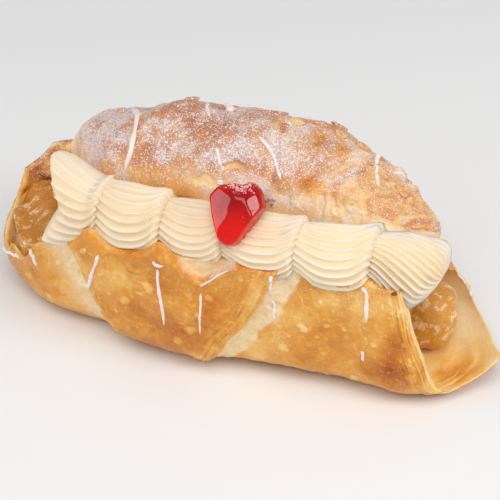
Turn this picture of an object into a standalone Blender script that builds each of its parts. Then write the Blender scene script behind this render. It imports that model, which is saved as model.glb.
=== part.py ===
"""A cream danish: a folded laminated pastry, slit along its front and hinged at its back.

The pastry is one baked piece: a trough with a tongue at each end, and a domed top that joins it
along the back. Fruit filling lies in the trough and shows at both ends, star-piped cream fills the
slit, and half a glazed cherry sits on the cream. Thin strands of set icing cross the crust.

Lengths in this file are millimetres until a mesh is made, which is in metres. X runs along the
pastry, -Y is its open front and +Z is up. The origin is under the middle of its bounding box.

A profile is given by stations: pairs of (x, value) that a smooth curve passes through.
"""

import math

import bmesh
import bpy
import numpy as np

MM = 0.001
CRUST = (0.78, 0.46, 0.17)
CREAM = (0.9, 0.8, 0.56)
FRUIT = (0.55, 0.27, 0.05)
CHERRY_RED = (0.55, 0.01, 0.01)
CREASE_ANGLE = 40.0

# Space left between the pieces: round the cream and the cherry, and under the filling.
CLEARANCE = 0.4
BED_GAP = 1.35

# The trough, the lower half of the pastry: how far its sides stand out from its long axis.
FRONT_REACH = ((-89, 6), (-84, 12), (-76, 18), (-67, 21.5), (-57, 23.5), (-42, 25), (-8, 28),
               (22, 27), (43, 25.5), (66, 22), (73, 19.5), (80, 16), (88, 10))
BACK_REACH = ((-89, 8), (-84, 15), (-76, 21), (-67, 26), (-57, 30), (-42, 33), (-8, 36),
              (30, 35), (50, 32), (66, 27), (75, 22), (88, 13))
AXIS_Y = ((40, 0), (66, -3), (86, -5))
BELLY_Z = 16.0
SECTION_POWER = 2.8
FLOOR_CUT = 0.7
LEFT_CURL = (-63.0, 26.5, 34.0)
RIGHT_CURL = ((60, 0), (72, 2.5), (86, 10))
FRONT_RIM_Y = ((-78, 16.5), (-66, 21), (-56, 24), (-38, 27), (-15, 28), (10, 26.5), (30, 24.5),
               (60, 21))
FRONT_RIM_Z = ((-76, 18), (-67, 25), (-58, 33), (-38, 39.5), (-15, 42.5), (30, 44.5), (58, 43.5))
BACK_RIM_Y = ((-87, 8), (-79, 16), (-66, 21), (-50, 26), (-20, 31), (20, 32), (45, 27), (66, 20))
BACK_RIM_Z = ((-87, 41), (-77, 41.5), (-66, 43.5), (-50, 50), (-20, 54), (30, 50), (50, 42), (66, 25))
LEFT_END = ((-2, -66), (-1.5, -71), (-1, -78), (-0.5, -85), (0, -88), (0.6, -88), (1, -86.5),
            (1.5, -83), (2, -76))
RIGHT_END = ((-2, 58), (-1.5, 62), (-1, 67), (-0.5, 71.5), (-0.25, 77.5), (0, 84.5), (0.3, 82),
             (0.7, 76), (1, 69), (1.5, 61), (2, 54))
TEAR = (-4.0, 9.5, 10.0, 2.6)
WALL = 5.0
RIM_WALL = 3.4
LAYERED_EXTRA = 2.8

# The folded-over corner of the dough: where its two edges lie at each height on the front.
FLAP_LEFT = ((0, -20), (3, -25), (8, -32), (20, -38.5), (34, -47), (44, -53))
FLAP_RIGHT = ((0, -8), (6, 0), (11, 4), (29, 15), (40, 22), (48, 27))
FLAP_STEP = 2.4

# The domed top.
TOP_LEFT = -70.0
TOP_RIGHT = 60.0
TOP_FRONT_Y = ((-68, 15), (-60, 6), (-49, -5), (-35, -8.5), (-11, -11.5), (20, -9.5), (43, -5),
               (52, -1), (60, 7))
TOP_FRONT_Z = ((-68, 40), (-60, 44), (-49, 47), (-35, 48), (-11, 53), (20, 51), (43, 49),
               (52, 46.5), (60, 44))
TOP_BACK_Y = ((-69, 22), (-56, 27), (-30, 32), (0, 33), (20, 33), (45, 28), (60, 19))
TOP_BACK_Z = ((-68, 36), (-50, 44), (-20, 47), (30, 46), (60, 38))
TOP_CREST = ((-70, 45), (-64, 53), (-54, 59.5), (-44, 64), (-30, 68.5), (-12, 71.5), (4, 71.5),
             (20, 69.5), (33, 65), (43, 59), (52, 52), (60, 45.5))
TOP_UNDER_DROP = 5.0
FOLD_LINE = (19.0, 0.69)
FOLD_STEP = 1.8
HOLE = (-2.0, -6.5, 4.0, 2.6, 2.0)

# Icing strands: x and place at the start, x and place at the end, width. A place on the top is
# the angle of its section in degrees, and on the trough it is the section's own measure s.
TOP_STRANDS = (
    (-38.0, 78, -39.0, 164, 2.6),
    (-17.0, 80, -16.0, 99, 1.9),
    (-7.0, 129, -5.0, 163, 1.7),
    (2.0, 107, 13.0, 149, 1.8),
    (41.0, 80, 40.0, 112, 2.0),
    (-9.0, 76, -7.5, 84, 3.2),
    (-40.0, 34, -38.0, 66, 2.2),
    (-12.0, 26, -14.0, 58, 2.0),
    (14.0, 30, 11.0, 64, 1.9),
    (45.0, 38, 42.0, 66, 1.9),
)
TROUGH_STRANDS = (
    (-80.0, -0.85, -66.0, -1.42, 2.0),
    (-40.0, -1.92, -45.0, -1.24, 2.0),
    (-19.0, -1.90, -17.0, -1.07, 2.0),
    (-5.0, -1.62, -4.0, -1.11, 1.6),
    (17.0, -1.92, 18.0, -1.38, 1.7),
    (46.0, -1.92, 47.0, -1.50, 2.1),
    (47.0, -1.20, 47.0, -1.03, 1.8),
    (-43.0, 1.00, -41.0, 1.50, 2.0),
    (-16.0, 0.90, -13.0, 1.45, 2.0),
    (19.0, 1.05, 16.0, 1.60, 1.9),
)
STRAND_POINTS = 6
STRAND_SIDES = 5
STRAND_HEIGHT = 0.45

# The piped cream.
SHELL_ENDS = (-64.5, -44.5, -22.5, -0.5, 22.0, 46.0, 65.0)
LAST_SHELL = 5
SHELL_TEETH = 14
TOOTH_DEPTH = 0.10
PEAK_TURN = 95.0
PEAK_RISE = 0.42
ROPE_RADIUS = ((-68, 13), (-50, 12), (-30, 10.6), (0, 9.8), (34, 9.8), (46, 10.5), (60, 11.6))
ROPE_Y = ((-68, -6), (-50, -12), (-20, -16.5), (10, -16.5), (34, -15), (56, -9), (68, -5))
ROPE_Z = ((-68, 37.5), (-45, 42), (-20, 45.5), (10, 47), (34, 46.5), (54, 43.5), (66, 38.5))
BED_ENDS = (-68.0, 62.0)
BED_CENTRE = (6.0, 33.0)
BED_RADII = (27.0, 17.0)

# The cherry half and the fruit filling.
CHERRY_WIDTH = 17.0
CHERRY_HEIGHT = 20.0
CHERRY_DEPTH = 10.0
CHERRY_CENTRE = (3.0, -20.0, 58.5)
CHERRY_LEAN = 38.0
FILLING_LEVEL = ((-82, 20.5), (-62, 23), (-40, 24), (40, 25), (58, 24), (66, 18), (74, 9.5))
FILLING_SLOPE = 0.24
FILLING_SPAN = (0.11, 2.86)
FILLING_SIDE = 1.3

# Mesh densities.
TROUGH_ROWS = 31
TROUGH_COLUMNS = (12, 12, 19)
TOP_ROWS = 28
TOP_COLUMNS = (19, 12)
SHELL_RINGS = (0.0, 0.13, 0.26, 0.40, 0.58, 0.76, 0.88, 0.95, 1.0)


def smooth(low, high, x):
    """0 at low, 1 at high, and an even S between them."""
    t = np.clip((np.asarray(x, float) - low) / (high - low), 0.0, 1.0)
    return t * t * (3.0 - 2.0 * t)


def bump(x, centre, width):
    """A bell of height 1 at centre, falling to 0.37 at centre plus or minus width."""
    return np.exp(-(((np.asarray(x, float) - centre) / width) ** 2))


def lerp(a, b, t):
    return a + (b - a) * t


def through(stations, x):
    """The smooth curve through the stations at x, level beyond the first and the last."""
    knots, values = np.array(stations, float).T
    slopes = np.gradient(values, knots)
    x = np.clip(x, knots[0], knots[-1])
    i = np.clip(np.searchsorted(knots, x, side="right") - 1, 0, len(knots) - 2)
    h = knots[i + 1] - knots[i]
    t = (x - knots[i]) / h
    start = (1 + 2 * t) * (1 - t) ** 2 * values[i] + t * (1 - t) ** 2 * h * slopes[i]
    end = t * t * (3 - 2 * t) * values[i + 1] + t * t * (t - 1) * h * slopes[i + 1]
    return start + end


def surface_normals(surface, a, b):
    """Unit normals of a surface of two parameters, from small steps of each."""
    h = 1e-3
    along_a = surface(a + h, b) - surface(a - h, b)
    along_b = surface(a, b + h) - surface(a, b - h)
    normal = np.cross(along_a, along_b)
    return normal / np.maximum(np.linalg.norm(normal, axis=-1, keepdims=True), 1e-12)


# ---------------------------------------------------------------- the trough


def underside(x):
    """Height of the trough's underside: flat where it rests, with both ends curling up."""
    start, length, rise = LEFT_CURL
    f = np.clip((start - x) / length, 0.0, 0.985)
    return rise * (1.0 - np.sqrt(1.0 - f * f)) + through(RIGHT_CURL, x)


def side_profile(x, q, front):
    """A point of the trough's section. q is 0 at the bottom, 1 at the widest, 2 at the rim."""
    reach = through(FRONT_REACH if front else BACK_REACH, x)
    rim_y = through(FRONT_RIM_Y if front else BACK_RIM_Y, x)
    rim_z = through(FRONT_RIM_Z if front else BACK_RIM_Z, x)
    lift = underside(x)
    angle = np.clip(q, 0.0, 1.0) * math.pi / 2
    power = 2.0 / SECTION_POWER
    y = reach * np.sin(angle) ** power
    belly = BELLY_Z - 5.0 * smooth(60.0, 84.0, x)
    z = np.maximum(belly * (1.0 - np.cos(angle) ** power) - FLOOR_CUT, 0.0) + lift
    rise = np.clip(q - 1.0, 0.0, 1.0)
    y = np.where(q > 1.0, lerp(reach, rim_y, rise**1.9), y)
    low = belly - FLOOR_CUT + lift
    z = np.where(q > 1.0, low + np.maximum(rim_z - low, 1.0) * rise, z)
    return through(AXIS_Y, x) + (-y if front else y), z


def flap_edges(s):
    """x of the folded corner's two edges at each s, running straight on behind the front."""
    height = np.clip(-s, 0.0, 2.0) / 2.0
    z = lerp(0.0, 40.0, height**1.25)
    behind = smooth(0.0, 1.0, s)
    left = lerp(through(FLAP_LEFT, z), -38.0, behind)
    right = lerp(through(FLAP_RIGHT, z), 8.0, behind)
    return left, right


def trough_x(s, u):
    """x of a point of the trough. u runs 0..3: left end, flap's left edge, right edge, right end."""
    left, right = through(LEFT_END, s), through(RIGHT_END, s)
    flap_left, flap_right = flap_edges(s)
    x = lerp(left, flap_left, np.clip(u, -1.0, 1.0))
    x = np.where(u > 1.0, lerp(flap_left, flap_right, u - 1.0), x)
    return np.where(u > 2.0, lerp(flap_right, right, u - 2.0), x)


def trough_u(s, x):
    """The u at which the trough reaches x, the other way round from trough_x."""
    left, right = through(LEFT_END, s), through(RIGHT_END, s)
    flap_left, flap_right = flap_edges(s)
    u = np.where(x < flap_left, (x - left) / (flap_left - left), 1.0)
    u = np.where(x > flap_left, 1.0 + (x - flap_left) / (flap_right - flap_left), u)
    return np.where(x > flap_right, 2.0 + (x - flap_right) / (right - flap_right), u)


def trough_plain(s, u):
    """Outer face of the trough without its relief. s runs -2..2 from the front rim to the back."""
    x = trough_x(s, u)
    q = np.abs(s)
    front_y, front_z = side_profile(x, q, True)
    back_y, back_z = side_profile(x, q, False)
    return np.stack([x, np.where(s < 0, front_y, back_y), np.where(s < 0, front_z, back_z)], -1)


def trough_relief(s, u):
    """How far the crust stands out from the plain face."""
    x = trough_x(s, u)
    front = smooth(0.3, 0.9, -s)
    on_flap = smooth(0.985, 1.015, u) * (1.0 - smooth(1.985, 2.015, u))
    swell = 2.6 * bump(x, -14.0, 20.0) * front * (1.0 - smooth(1.3, 2.0, -s))
    beside = 1.2 * bump(u, 2.12, 0.10) * front
    centre, width, depth, layer = TEAR
    rim = through(FRONT_RIM_Z, x)
    height = trough_plain(s, u)[..., 2]
    torn = layer * smooth(-0.8, 0.8, height - rim + depth * bump(x, centre, width)) * (s < -1.0)
    torn = torn * bump(x, centre, 1.5 * width)
    wave = 1.0 * np.sin(x * 0.17 + 1.3) * np.sin(np.abs(s) * 2.6 + x * 0.05)
    wave = wave * (1.0 - smooth(1.3, 1.8, s))
    return FLAP_STEP * on_flap * front + swell - beside - torn + wave * smooth(0.45, 0.9, np.abs(s))


def trough_outer(s, u):
    normal = surface_normals(trough_plain, s, u)
    return trough_plain(s, u) + normal * trough_relief(s, u)[..., None]


def trough_inner(s, u, gap=0.0):
    """Inner face of the trough's wall, thinner towards its ends and rims."""
    edge = np.maximum(smooth(0.35, 0.0, u), smooth(2.7, 3.0, u))
    edge = np.maximum(edge, smooth(1.2, 2.0, np.abs(s)))
    thick = lerp(WALL, RIM_WALL, edge) + gap
    thick = thick + LAYERED_EXTRA * smooth(2.6, 3.0, u) * smooth(-0.5, -1.1, s)
    return trough_plain(s, u) - surface_normals(trough_plain, s, u) * thick[..., None]


def trough_columns():
    """u of the trough's columns: a pair of columns at each edge of the folded corner."""
    first, middle, last = TROUGH_COLUMNS
    left = 1.0 - np.cos(np.linspace(0.0, math.pi / 2, first)) ** 0.9
    middle_part = np.linspace(1.03, 1.97, middle)
    right = 2.03 + 0.97 * np.linspace(0.0, 1.0, last) ** 0.85
    return np.concatenate([left[:-1], [0.97], middle_part, right])


# ---------------------------------------------------------------- the domed top


def top_marks(angle):
    """x of the top's left end and of its fold line, at an angle of its section."""
    over = np.clip(np.sin(angle), 0.0, 1.0)
    y = 11.0 + 22.0 * np.cos(angle)
    fold = lerp(25.0, FOLD_LINE[0] + FOLD_LINE[1] * (y + 9.0), smooth(0.0, 0.35, over))
    return TOP_LEFT + 2.0 * np.cos(angle), fold


def top_x(angle, u):
    """x of a point of the top. u runs 0..2: left end, fold line, right end."""
    left, fold = top_marks(angle)
    return np.where(u < 1.0, lerp(left, fold, u), lerp(fold, TOP_RIGHT, u - 1.0))


def top_u(angle, x):
    """The u at which the top reaches x, the other way round from top_x."""
    left, fold = top_marks(angle)
    return np.where(x < fold, (x - left) / (fold - left), 1.0 + (x - fold) / (TOP_RIGHT - fold))


def top_plain(angle, u):
    """Skin of the top: angle is pi at the front edge, pi/2 at the ridge, 0 behind, then under."""
    x = top_x(angle, u)
    front_y, front_z = through(TOP_FRONT_Y, x), through(TOP_FRONT_Z, x)
    back_y, back_z = through(TOP_BACK_Y, x), through(TOP_BACK_Z, x)
    over, along = np.sin(angle), np.cos(angle)
    height = through(TOP_CREST, x) - (front_z + back_z) / 2
    lift = np.where(over > 0, height * np.abs(over) ** 0.8, -TOP_UNDER_DROP * np.abs(over) ** 0.7)
    y = lerp(front_y, back_y, (1 + along) / 2)
    z = lerp(front_z, back_z, (1 + along) / 2) + lift
    return np.stack([x, y, z], -1)


def top_relief(angle, u):
    """How far the top's crust stands out from its plain skin."""
    point = top_plain(angle, u)
    x, y = point[..., 0], point[..., 1]
    upper = smooth(0.1, 0.5, np.sin(angle))
    step = -FOLD_STEP * smooth(0.985, 1.015, u)
    wave = 0.9 * np.sin(x * 0.21 + 0.6) * np.sin(y * 0.15 + x * 0.03)
    puff = 1.2 * bump(x, -30.0, 9.0) * bump(y, 10.0, 14.0)
    hole = HOLE[4] * bump(x, HOLE[0], HOLE[2]) * bump(y, HOLE[1], HOLE[3])
    return upper * (step + wave + puff - hole)


def top_outer(angle, u):
    normal = surface_normals(top_plain, angle, u)
    return top_plain(angle, u) + normal * top_relief(angle, u)[..., None]


def top_rings():
    """Rings of the top from left to right, drawn in at both ends."""
    left, right = TOP_COLUMNS
    first = np.linspace(0.0, 1.0, left) ** 1.25
    last = 2.0 - 0.97 * np.linspace(1.0, 0.0, right) ** 1.25
    u = np.concatenate([first[:-1], [0.97], last])
    angle = np.linspace(0.0, 2 * math.pi, TOP_ROWS, endpoint=False)
    u_grid, angle_grid = np.meshgrid(u, angle, indexing="ij")
    rings = top_outer(angle_grid, np.clip(u_grid, 0.002, 1.998))
    size = np.sqrt(np.clip(np.minimum(u / 0.10, (2.0 - u) / 0.16), 0.03, 1.0))
    size = np.sin(size * math.pi / 2)
    core = rings.mean(axis=1, keepdims=True)
    return core + (rings - core) * size[:, None, None]


# ---------------------------------------------------------------- meshes


def new_object(name, mesh_data, colour, roughness):
    """An object from a bmesh in millimetres, with its own plain material."""
    mesh = bpy.data.meshes.new(name)
    bmesh.ops.recalc_face_normals(mesh_data, faces=mesh_data.faces)
    bmesh.ops.triangulate(mesh_data, faces=mesh_data.faces)
    bmesh.ops.scale(mesh_data, vec=(MM, MM, MM), verts=mesh_data.verts)
    mesh_data.to_mesh(mesh)
    mesh_data.free()
    material = bpy.data.materials.new(name)
    material.use_nodes = True
    shader = material.node_tree.nodes["Principled BSDF"]
    shader.inputs["Base Color"].default_value = (*colour, 1.0)
    shader.inputs["Roughness"].default_value = roughness
    mesh.materials.append(material)
    made = bpy.data.objects.new(name, mesh)
    bpy.context.scene.collection.objects.link(made)
    return made


def wall_mesh(outer, inner):
    """A closed wall between a fine outer grid and an inner grid of half as many cells each way."""
    data = bmesh.new()
    far = [[data.verts.new(point) for point in row] for row in outer]
    near = [[data.verts.new(point) for point in row] for row in inner]
    for grid in (far, near):
        for row, next_row in zip(grid[:-1], grid[1:]):
            for j in range(len(row) - 1):
                data.faces.new((row[j], row[j + 1], next_row[j + 1], next_row[j]))
    rims = (
        (far[0], near[0]),
        (far[-1], near[-1]),
        ([row[0] for row in far], [row[0] for row in near]),
        ([row[-1] for row in far], [row[-1] for row in near]),
    )
    for fine, coarse in rims:
        for k in range(len(coarse) - 1):
            first, second, third = fine[2 * k : 2 * k + 3]
            data.faces.new((first, second, coarse[k]))
            data.faces.new((second, coarse[k + 1], coarse[k]))
            data.faces.new((second, third, coarse[k + 1]))
    return data


def ring_mesh(rings):
    """A closed skin over rings of points, with a fan at each end."""
    data = bmesh.new()
    count, around = rings.shape[:2]
    verts = [[data.verts.new(rings[i, j]) for j in range(around)] for i in range(count)]
    for i in range(count - 1):
        for j in range(around):
            k = (j + 1) % around
            data.faces.new((verts[i][j], verts[i][k], verts[i + 1][k], verts[i + 1][j]))
    for ring in (verts[0], verts[-1]):
        middle = data.verts.new(np.mean([v.co for v in ring], axis=0))
        for j in range(around):
            data.faces.new((ring[j], ring[(j + 1) % around], middle))
    return data


def islands(data):
    """The separate bodies of a bmesh, each a list of its vertices."""
    left = set(data.verts)
    found = []
    while left:
        stack = [left.pop()]
        body = list(stack)
        while stack:
            for edge in stack.pop().link_edges:
                for vert in edge.verts:
                    if vert in left:
                        left.remove(vert)
                        stack.append(vert)
                        body.append(vert)
        found.append(body)
    return found


def apply_modifiers(obj):
    """Makes the evaluated mesh the object's own, and drops every scrap but the largest body."""
    bpy.context.view_layer.update()
    data = bmesh.new()
    data.from_object(obj, bpy.context.evaluated_depsgraph_get())
    for body in sorted(islands(data), key=len)[:-1]:
        bmesh.ops.delete(data, geom=body, context="VERTS")
    bmesh.ops.triangulate(data, faces=data.faces)
    obj.modifiers.clear()
    data.to_mesh(obj.data)
    data.free()


def combine(obj, others, operation, swell=0.0, solver="EXACT"):
    """Joins others to obj, or cuts them from it, each made larger by swell millimetres."""
    group = bpy.data.collections.new(operation.lower())
    bpy.context.scene.collection.children.link(group)
    for other in others:
        group.objects.link(other)
        if swell:
            grow = other.modifiers.new("clearance", "DISPLACE")
            grow.mid_level = 0.0
            grow.strength = swell * MM
    step = obj.modifiers.new(operation.lower(), "BOOLEAN")
    step.operation = operation
    step.solver = solver
    step.operand_type = "COLLECTION"
    step.collection = group
    apply_modifiers(obj)
    for other in others:
        bpy.data.objects.remove(other)
    bpy.data.collections.remove(group)


def copy_of(obj):
    """A separate copy of an object and its mesh."""
    twin = obj.copy()
    twin.data = obj.data.copy()
    bpy.context.scene.collection.objects.link(twin)
    return twin


# ---------------------------------------------------------------- the pieces


def strand_mesh(surface, inverse, first, last, start, end, width):
    """A strand of icing on a surface, half sunk in it, from (first, start) to (last, end)."""
    x = np.linspace(first, last, STRAND_POINTS)
    place = np.linspace(start, end, STRAND_POINTS)
    u = inverse(place, x)
    points = surface(place, u)
    outward = surface_normals(surface, place, u)
    heading = np.gradient(points, axis=0)
    side = np.cross(heading, outward)
    side /= np.linalg.norm(side, axis=1, keepdims=True)
    taper = np.sin(np.linspace(0.25, math.pi - 0.25, STRAND_POINTS)) ** 0.35
    turn = np.linspace(0.0, 2 * math.pi, STRAND_SIDES, endpoint=False) + math.pi / 2
    spread = np.cos(turn)[None, :, None] * side[:, None] * width / 2
    lift = np.sin(turn)[None, :, None] * outward[:, None] * width * STRAND_HEIGHT
    return ring_mesh(points[:, None] + (spread + lift) * taper[:, None, None])


def icing_strands():
    """A mesh for each strand of icing on the top and on the trough."""
    for first, start, last, end, width in TOP_STRANDS:
        span = np.radians(start), np.radians(end)
        yield strand_mesh(top_outer, top_u, first, last, *span, width)
    for first, start, last, end, width in TROUGH_STRANDS:
        yield strand_mesh(trough_outer, trough_u, first, last, start, end, width)


def make_pastry():
    """The baked piece: trough and top joined along the back, with the icing set on its crust."""
    s, u = np.meshgrid(np.linspace(-2.0, 2.0, TROUGH_ROWS), trough_columns(), indexing="ij")
    wall = wall_mesh(trough_outer(s, u), trough_inner(s[::2, ::2], u[::2, ::2]))
    pastry = new_object("pastry", wall, CRUST, 0.5)
    top = new_object("top_half", ring_mesh(top_rings()), CRUST, 0.5)
    combine(pastry, [top], "UNION")
    strands = [new_object("strand", mesh, CRUST, 0.5) for mesh in icing_strands()]
    combine(pastry, strands, "UNION", solver="MANIFOLD")
    return pastry


def filling_top(x, y):
    """Height of the fruit filling, lumpy with chunks of fruit under its glaze."""
    lumps = 1.1 * np.sin(x * 0.42 + 0.4) * np.sin(y * 0.36 + 1.0) + 0.7 * np.sin(x * 0.83 - y * 0.5)
    return through(FILLING_LEVEL, x) + lumps + FILLING_SLOPE * y


def make_filling():
    """The fruit filling, lying in the trough from one open end to the other."""
    start, end = FILLING_SPAN
    s = np.linspace(-FILLING_SIDE, FILLING_SIDE, 15)
    u = np.concatenate([np.linspace(start, 0.9, 7), [1.2, 1.6, 2.0], np.linspace(2.25, end, 9)])
    bed = trough_inner(*np.meshgrid(s, u, indexing="ij"), BED_GAP)
    level = filling_top(bed[..., 0], bed[..., 1])
    bed[..., 2] = np.minimum(bed[..., 2], level - 0.3)
    share = np.linspace(0.0, 1.0, 10)[1:-1, None, None]
    cover = lerp(bed[-1][None], bed[0][None], share)
    cover[..., 2] = filling_top(cover[..., 0], cover[..., 1])
    rings = np.concatenate([bed, cover], axis=0).transpose(1, 0, 2)
    return new_object("fruit_filling", ring_mesh(rings), FRUIT, 0.25)


def shell_rings(left, right, index):
    """Rings of one piped shell: a pinched tail at its left swells into a blunt head."""
    tau = np.array(SHELL_RINGS)
    length = right - left
    x = lerp(left - 0.22 * length, right + 0.02 * length, tau)
    head = np.sqrt(1.0 - np.clip((tau - 0.86) / 0.17, 0.0, 1.0) ** 2)
    tail = lerp(0.45, 1.0, smooth(0.0, 0.5, tau))
    if index == 0:
        x = lerp(left, right + 0.02 * length, tau)
        tail = np.sqrt(1.0 - np.clip((0.22 - tau) / 0.25, 0.0, 1.0) ** 2)
    radius = through(ROPE_RADIUS, x) * (1.0 + 0.04 * math.sin(2.1 * index))
    rise = 0.7 * radius * (1.0 - tail) + 1.4 * smooth(0.7, 1.0, tau)
    tilt = np.radians(lerp(-4.0, -30.0, tau)) if index == LAST_SHELL else 0.0 * tau
    count = SHELL_TEETH * 2
    theta = (np.arange(count) + 0.31 * index) * 2 * math.pi / count
    tooth = np.where(np.arange(count) % 2 == 0, 1.0 + TOOTH_DEPTH, 1.0 - TOOTH_DEPTH)
    spoke = (radius * tail * head)[:, None] * tooth[None, :]
    if index == 0:
        upward = np.clip(np.cos(theta - math.radians(PEAK_TURN)), 0.0, 1.0) ** 2
        spoke = spoke * (1.0 + PEAK_RISE * smooth(0.6, 0.05, tau)[:, None] * upward[None, :])
    up = spoke * np.sin(theta)[None, :]
    ring_x = x[:, None] - up * np.sin(tilt)[:, None]
    ring_y = through(ROPE_Y, x)[:, None] + 1.08 * spoke * np.cos(theta)[None, :]
    ring_z = (through(ROPE_Z, x) + rise)[:, None] + up * np.cos(tilt)[:, None]
    return np.stack([ring_x, ring_y, ring_z], -1)


def cream_bed_rings():
    """The cream behind the piped row, back to the hinge."""
    x = np.linspace(*BED_ENDS, 9)
    angle = np.linspace(0.0, 2 * math.pi, 12, endpoint=False)
    size = np.sin(np.linspace(0.12, math.pi - 0.12, 9)) ** 0.35
    y = BED_CENTRE[0] + BED_RADII[0] * size[:, None] * np.cos(angle)[None, :]
    z = BED_CENTRE[1] + BED_RADII[1] * size[:, None] * np.sin(angle)[None, :]
    return np.stack([np.broadcast_to(x[:, None], y.shape), y, z], axis=-1)


def make_cherry():
    """Half a glazed cherry, narrowing to a rounded point at its lower end."""
    data = bmesh.new()
    bmesh.ops.create_uvsphere(data, u_segments=18, v_segments=11, radius=1.0)
    lean = math.radians(CHERRY_LEAN)
    for vert in data.verts:
        x, y, z = vert.co
        taper = 1.0 - 0.34 * float(smooth(0.2, -1.0, z)) - 0.10 * float(smooth(0.6, 1.0, z))
        cleft = 0.16 * math.exp(-((x / 0.3) ** 2)) * float(smooth(0.55, 1.0, z))
        px = x * CHERRY_WIDTH / 2 * taper
        py = y * CHERRY_DEPTH / 2 * (0.8 + 0.2 * taper)
        pz = (z - cleft) * CHERRY_HEIGHT / 2
        vert.co = (
            CHERRY_CENTRE[0] + px,
            CHERRY_CENTRE[1] + py * math.cos(lean) + pz * math.sin(lean),
            CHERRY_CENTRE[2] - py * math.sin(lean) + pz * math.cos(lean),
        )
    return new_object("cherry", data, CHERRY_RED, 0.12)


def fit_inside(obj, pastry):
    """Trims a piece where it would touch the crust."""
    combine(obj, [copy_of(pastry)], "DIFFERENCE", CLEARANCE, "MANIFOLD")


def make_cream(pastry, filling, cherry):
    """The piped cream, pressed against the pastry, the filling and the cherry."""
    shells = [
        new_object(f"shell_{i}", ring_mesh(shell_rings(a, b, i)), CREAM, 0.5)
        for i, (a, b) in enumerate(zip(SHELL_ENDS[:-1], SHELL_ENDS[1:]))
    ]
    cream = new_object("piped_cream", ring_mesh(cream_bed_rings()), CREAM, 0.5)
    combine(cream, shells, "UNION")
    cutters = [copy_of(obj) for obj in (pastry, filling, cherry)]
    combine(cream, cutters, "DIFFERENCE", CLEARANCE, "MANIFOLD")
    return cream


def centre_on_origin(objects):
    """Moves every piece so that the origin is under the middle of their bounding box."""
    points = np.array([v.co for obj in objects for v in obj.data.vertices])
    low, high = points.min(axis=0), points.max(axis=0)
    shift = -np.array([(low[0] + high[0]) / 2, (low[1] + high[1]) / 2, low[2]])
    for obj in objects:
        for vert in obj.data.vertices:
            vert.co = np.array(vert.co) + shift


def main():
    for obj in list(bpy.data.objects):
        bpy.data.objects.remove(obj)
    pastry = make_pastry()
    filling = make_filling()
    cherry = make_cherry()
    fit_inside(cherry, pastry)
    cream = make_cream(pastry, filling, cherry)
    pieces = (pastry, filling, cherry, cream)
    centre_on_origin(pieces)
    for obj in pieces:
        obj.data.shade_smooth()
        obj.data.set_sharp_from_angle(angle=math.radians(CREASE_ANGLE))


main()
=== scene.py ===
"""The look of a cream danish: its crust, fruit filling, piped cream, cherry, icing and sugar.

Shapes are worked out in millimetres in the pastry's own space, where X runs along it, -Y is its
open front and +Z is up, and are placed in metres when a mesh is made. A profile is given by
stations: pairs of (x, value) that a smooth curve passes through.
"""

import logging
import math
from collections.abc import Callable
from dataclasses import dataclass
from enum import Enum

import bpy
import numpy as np
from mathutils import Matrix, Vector


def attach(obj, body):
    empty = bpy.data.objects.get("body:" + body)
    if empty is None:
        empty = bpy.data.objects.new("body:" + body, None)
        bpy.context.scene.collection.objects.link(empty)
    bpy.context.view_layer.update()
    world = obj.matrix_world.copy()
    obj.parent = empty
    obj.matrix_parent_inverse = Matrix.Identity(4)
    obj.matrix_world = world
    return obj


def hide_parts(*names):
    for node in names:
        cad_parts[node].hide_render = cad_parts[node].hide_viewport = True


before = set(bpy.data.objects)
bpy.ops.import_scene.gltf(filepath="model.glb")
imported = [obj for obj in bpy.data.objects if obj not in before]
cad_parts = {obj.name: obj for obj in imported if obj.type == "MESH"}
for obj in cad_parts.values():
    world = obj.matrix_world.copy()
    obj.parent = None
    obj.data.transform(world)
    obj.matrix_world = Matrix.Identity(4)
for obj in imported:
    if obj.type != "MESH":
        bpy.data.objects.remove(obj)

Array = np.ndarray
Stations = tuple[tuple[float, float], ...]
Colour = tuple[float, float, float]
Triple = tuple[float, float, float]
Spots = tuple[tuple[float, ...], ...]
Socket = bpy.types.NodeSocket
Piece = bpy.types.Object

MM = 0.001
# Where the pastry's own origin lies in the part's frame, in millimetres.
PLACE = np.array([1.959, -2.031, 0.0])
# Points of one piece that are nearer than this, in metres, are one point.
SEAM = 2e-6
LOG = logging.getLogger("danish")


# -------- curves and noise


def smooth(low: float, high: float, x: Array) -> Array:
    """0 at low, 1 at high, and an even S between them."""
    t = np.clip((np.asarray(x, float) - low) / (high - low), 0.0, 1.0)
    return t * t * (3.0 - 2.0 * t)


def bump(x: Array, centre: float, width: float) -> Array:
    """A bell of height 1 at centre, falling to 0.37 at centre plus or minus width."""
    return np.exp(-(((np.asarray(x, float) - centre) / width) ** 2))


def lerp(a: Array, b: Array, t: Array) -> Array:
    """The value that is a share t of the way from a to b."""
    return a + (b - a) * t


def through(stations: Stations, x: Array) -> Array:
    """The smooth curve through the stations at x, level beyond the first and the last.

    Args:
        stations: the pairs of (x, value) that the curve passes through.
        x: where it is looked up.

    Returns:
        Its value at each x.
    """
    knots, values = np.array(stations, float).T
    slopes = np.gradient(values, knots)
    x = np.clip(x, knots[0], knots[-1])
    i = np.clip(np.searchsorted(knots, x, side="right") - 1, 0, len(knots) - 2)
    h = knots[i + 1] - knots[i]
    t = (x - knots[i]) / h
    start = (1 + 2 * t) * (1 - t) ** 2 * values[i] + t * (1 - t) ** 2 * h * slopes[i]
    end = t * t * (3 - 2 * t) * values[i + 1] + t * t * (t - 1) * h * slopes[i + 1]
    return start + end


def spaced(knots: tuple[float, ...], counts: tuple[int, ...]) -> Array:
    """Numbers that run through the knots, with the given count of steps in each stretch."""
    parts = [np.linspace(a, b, n, endpoint=False) for a, b, n in zip(knots, knots[1:], counts)]
    return np.concatenate([*parts, [knots[-1]]])


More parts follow.
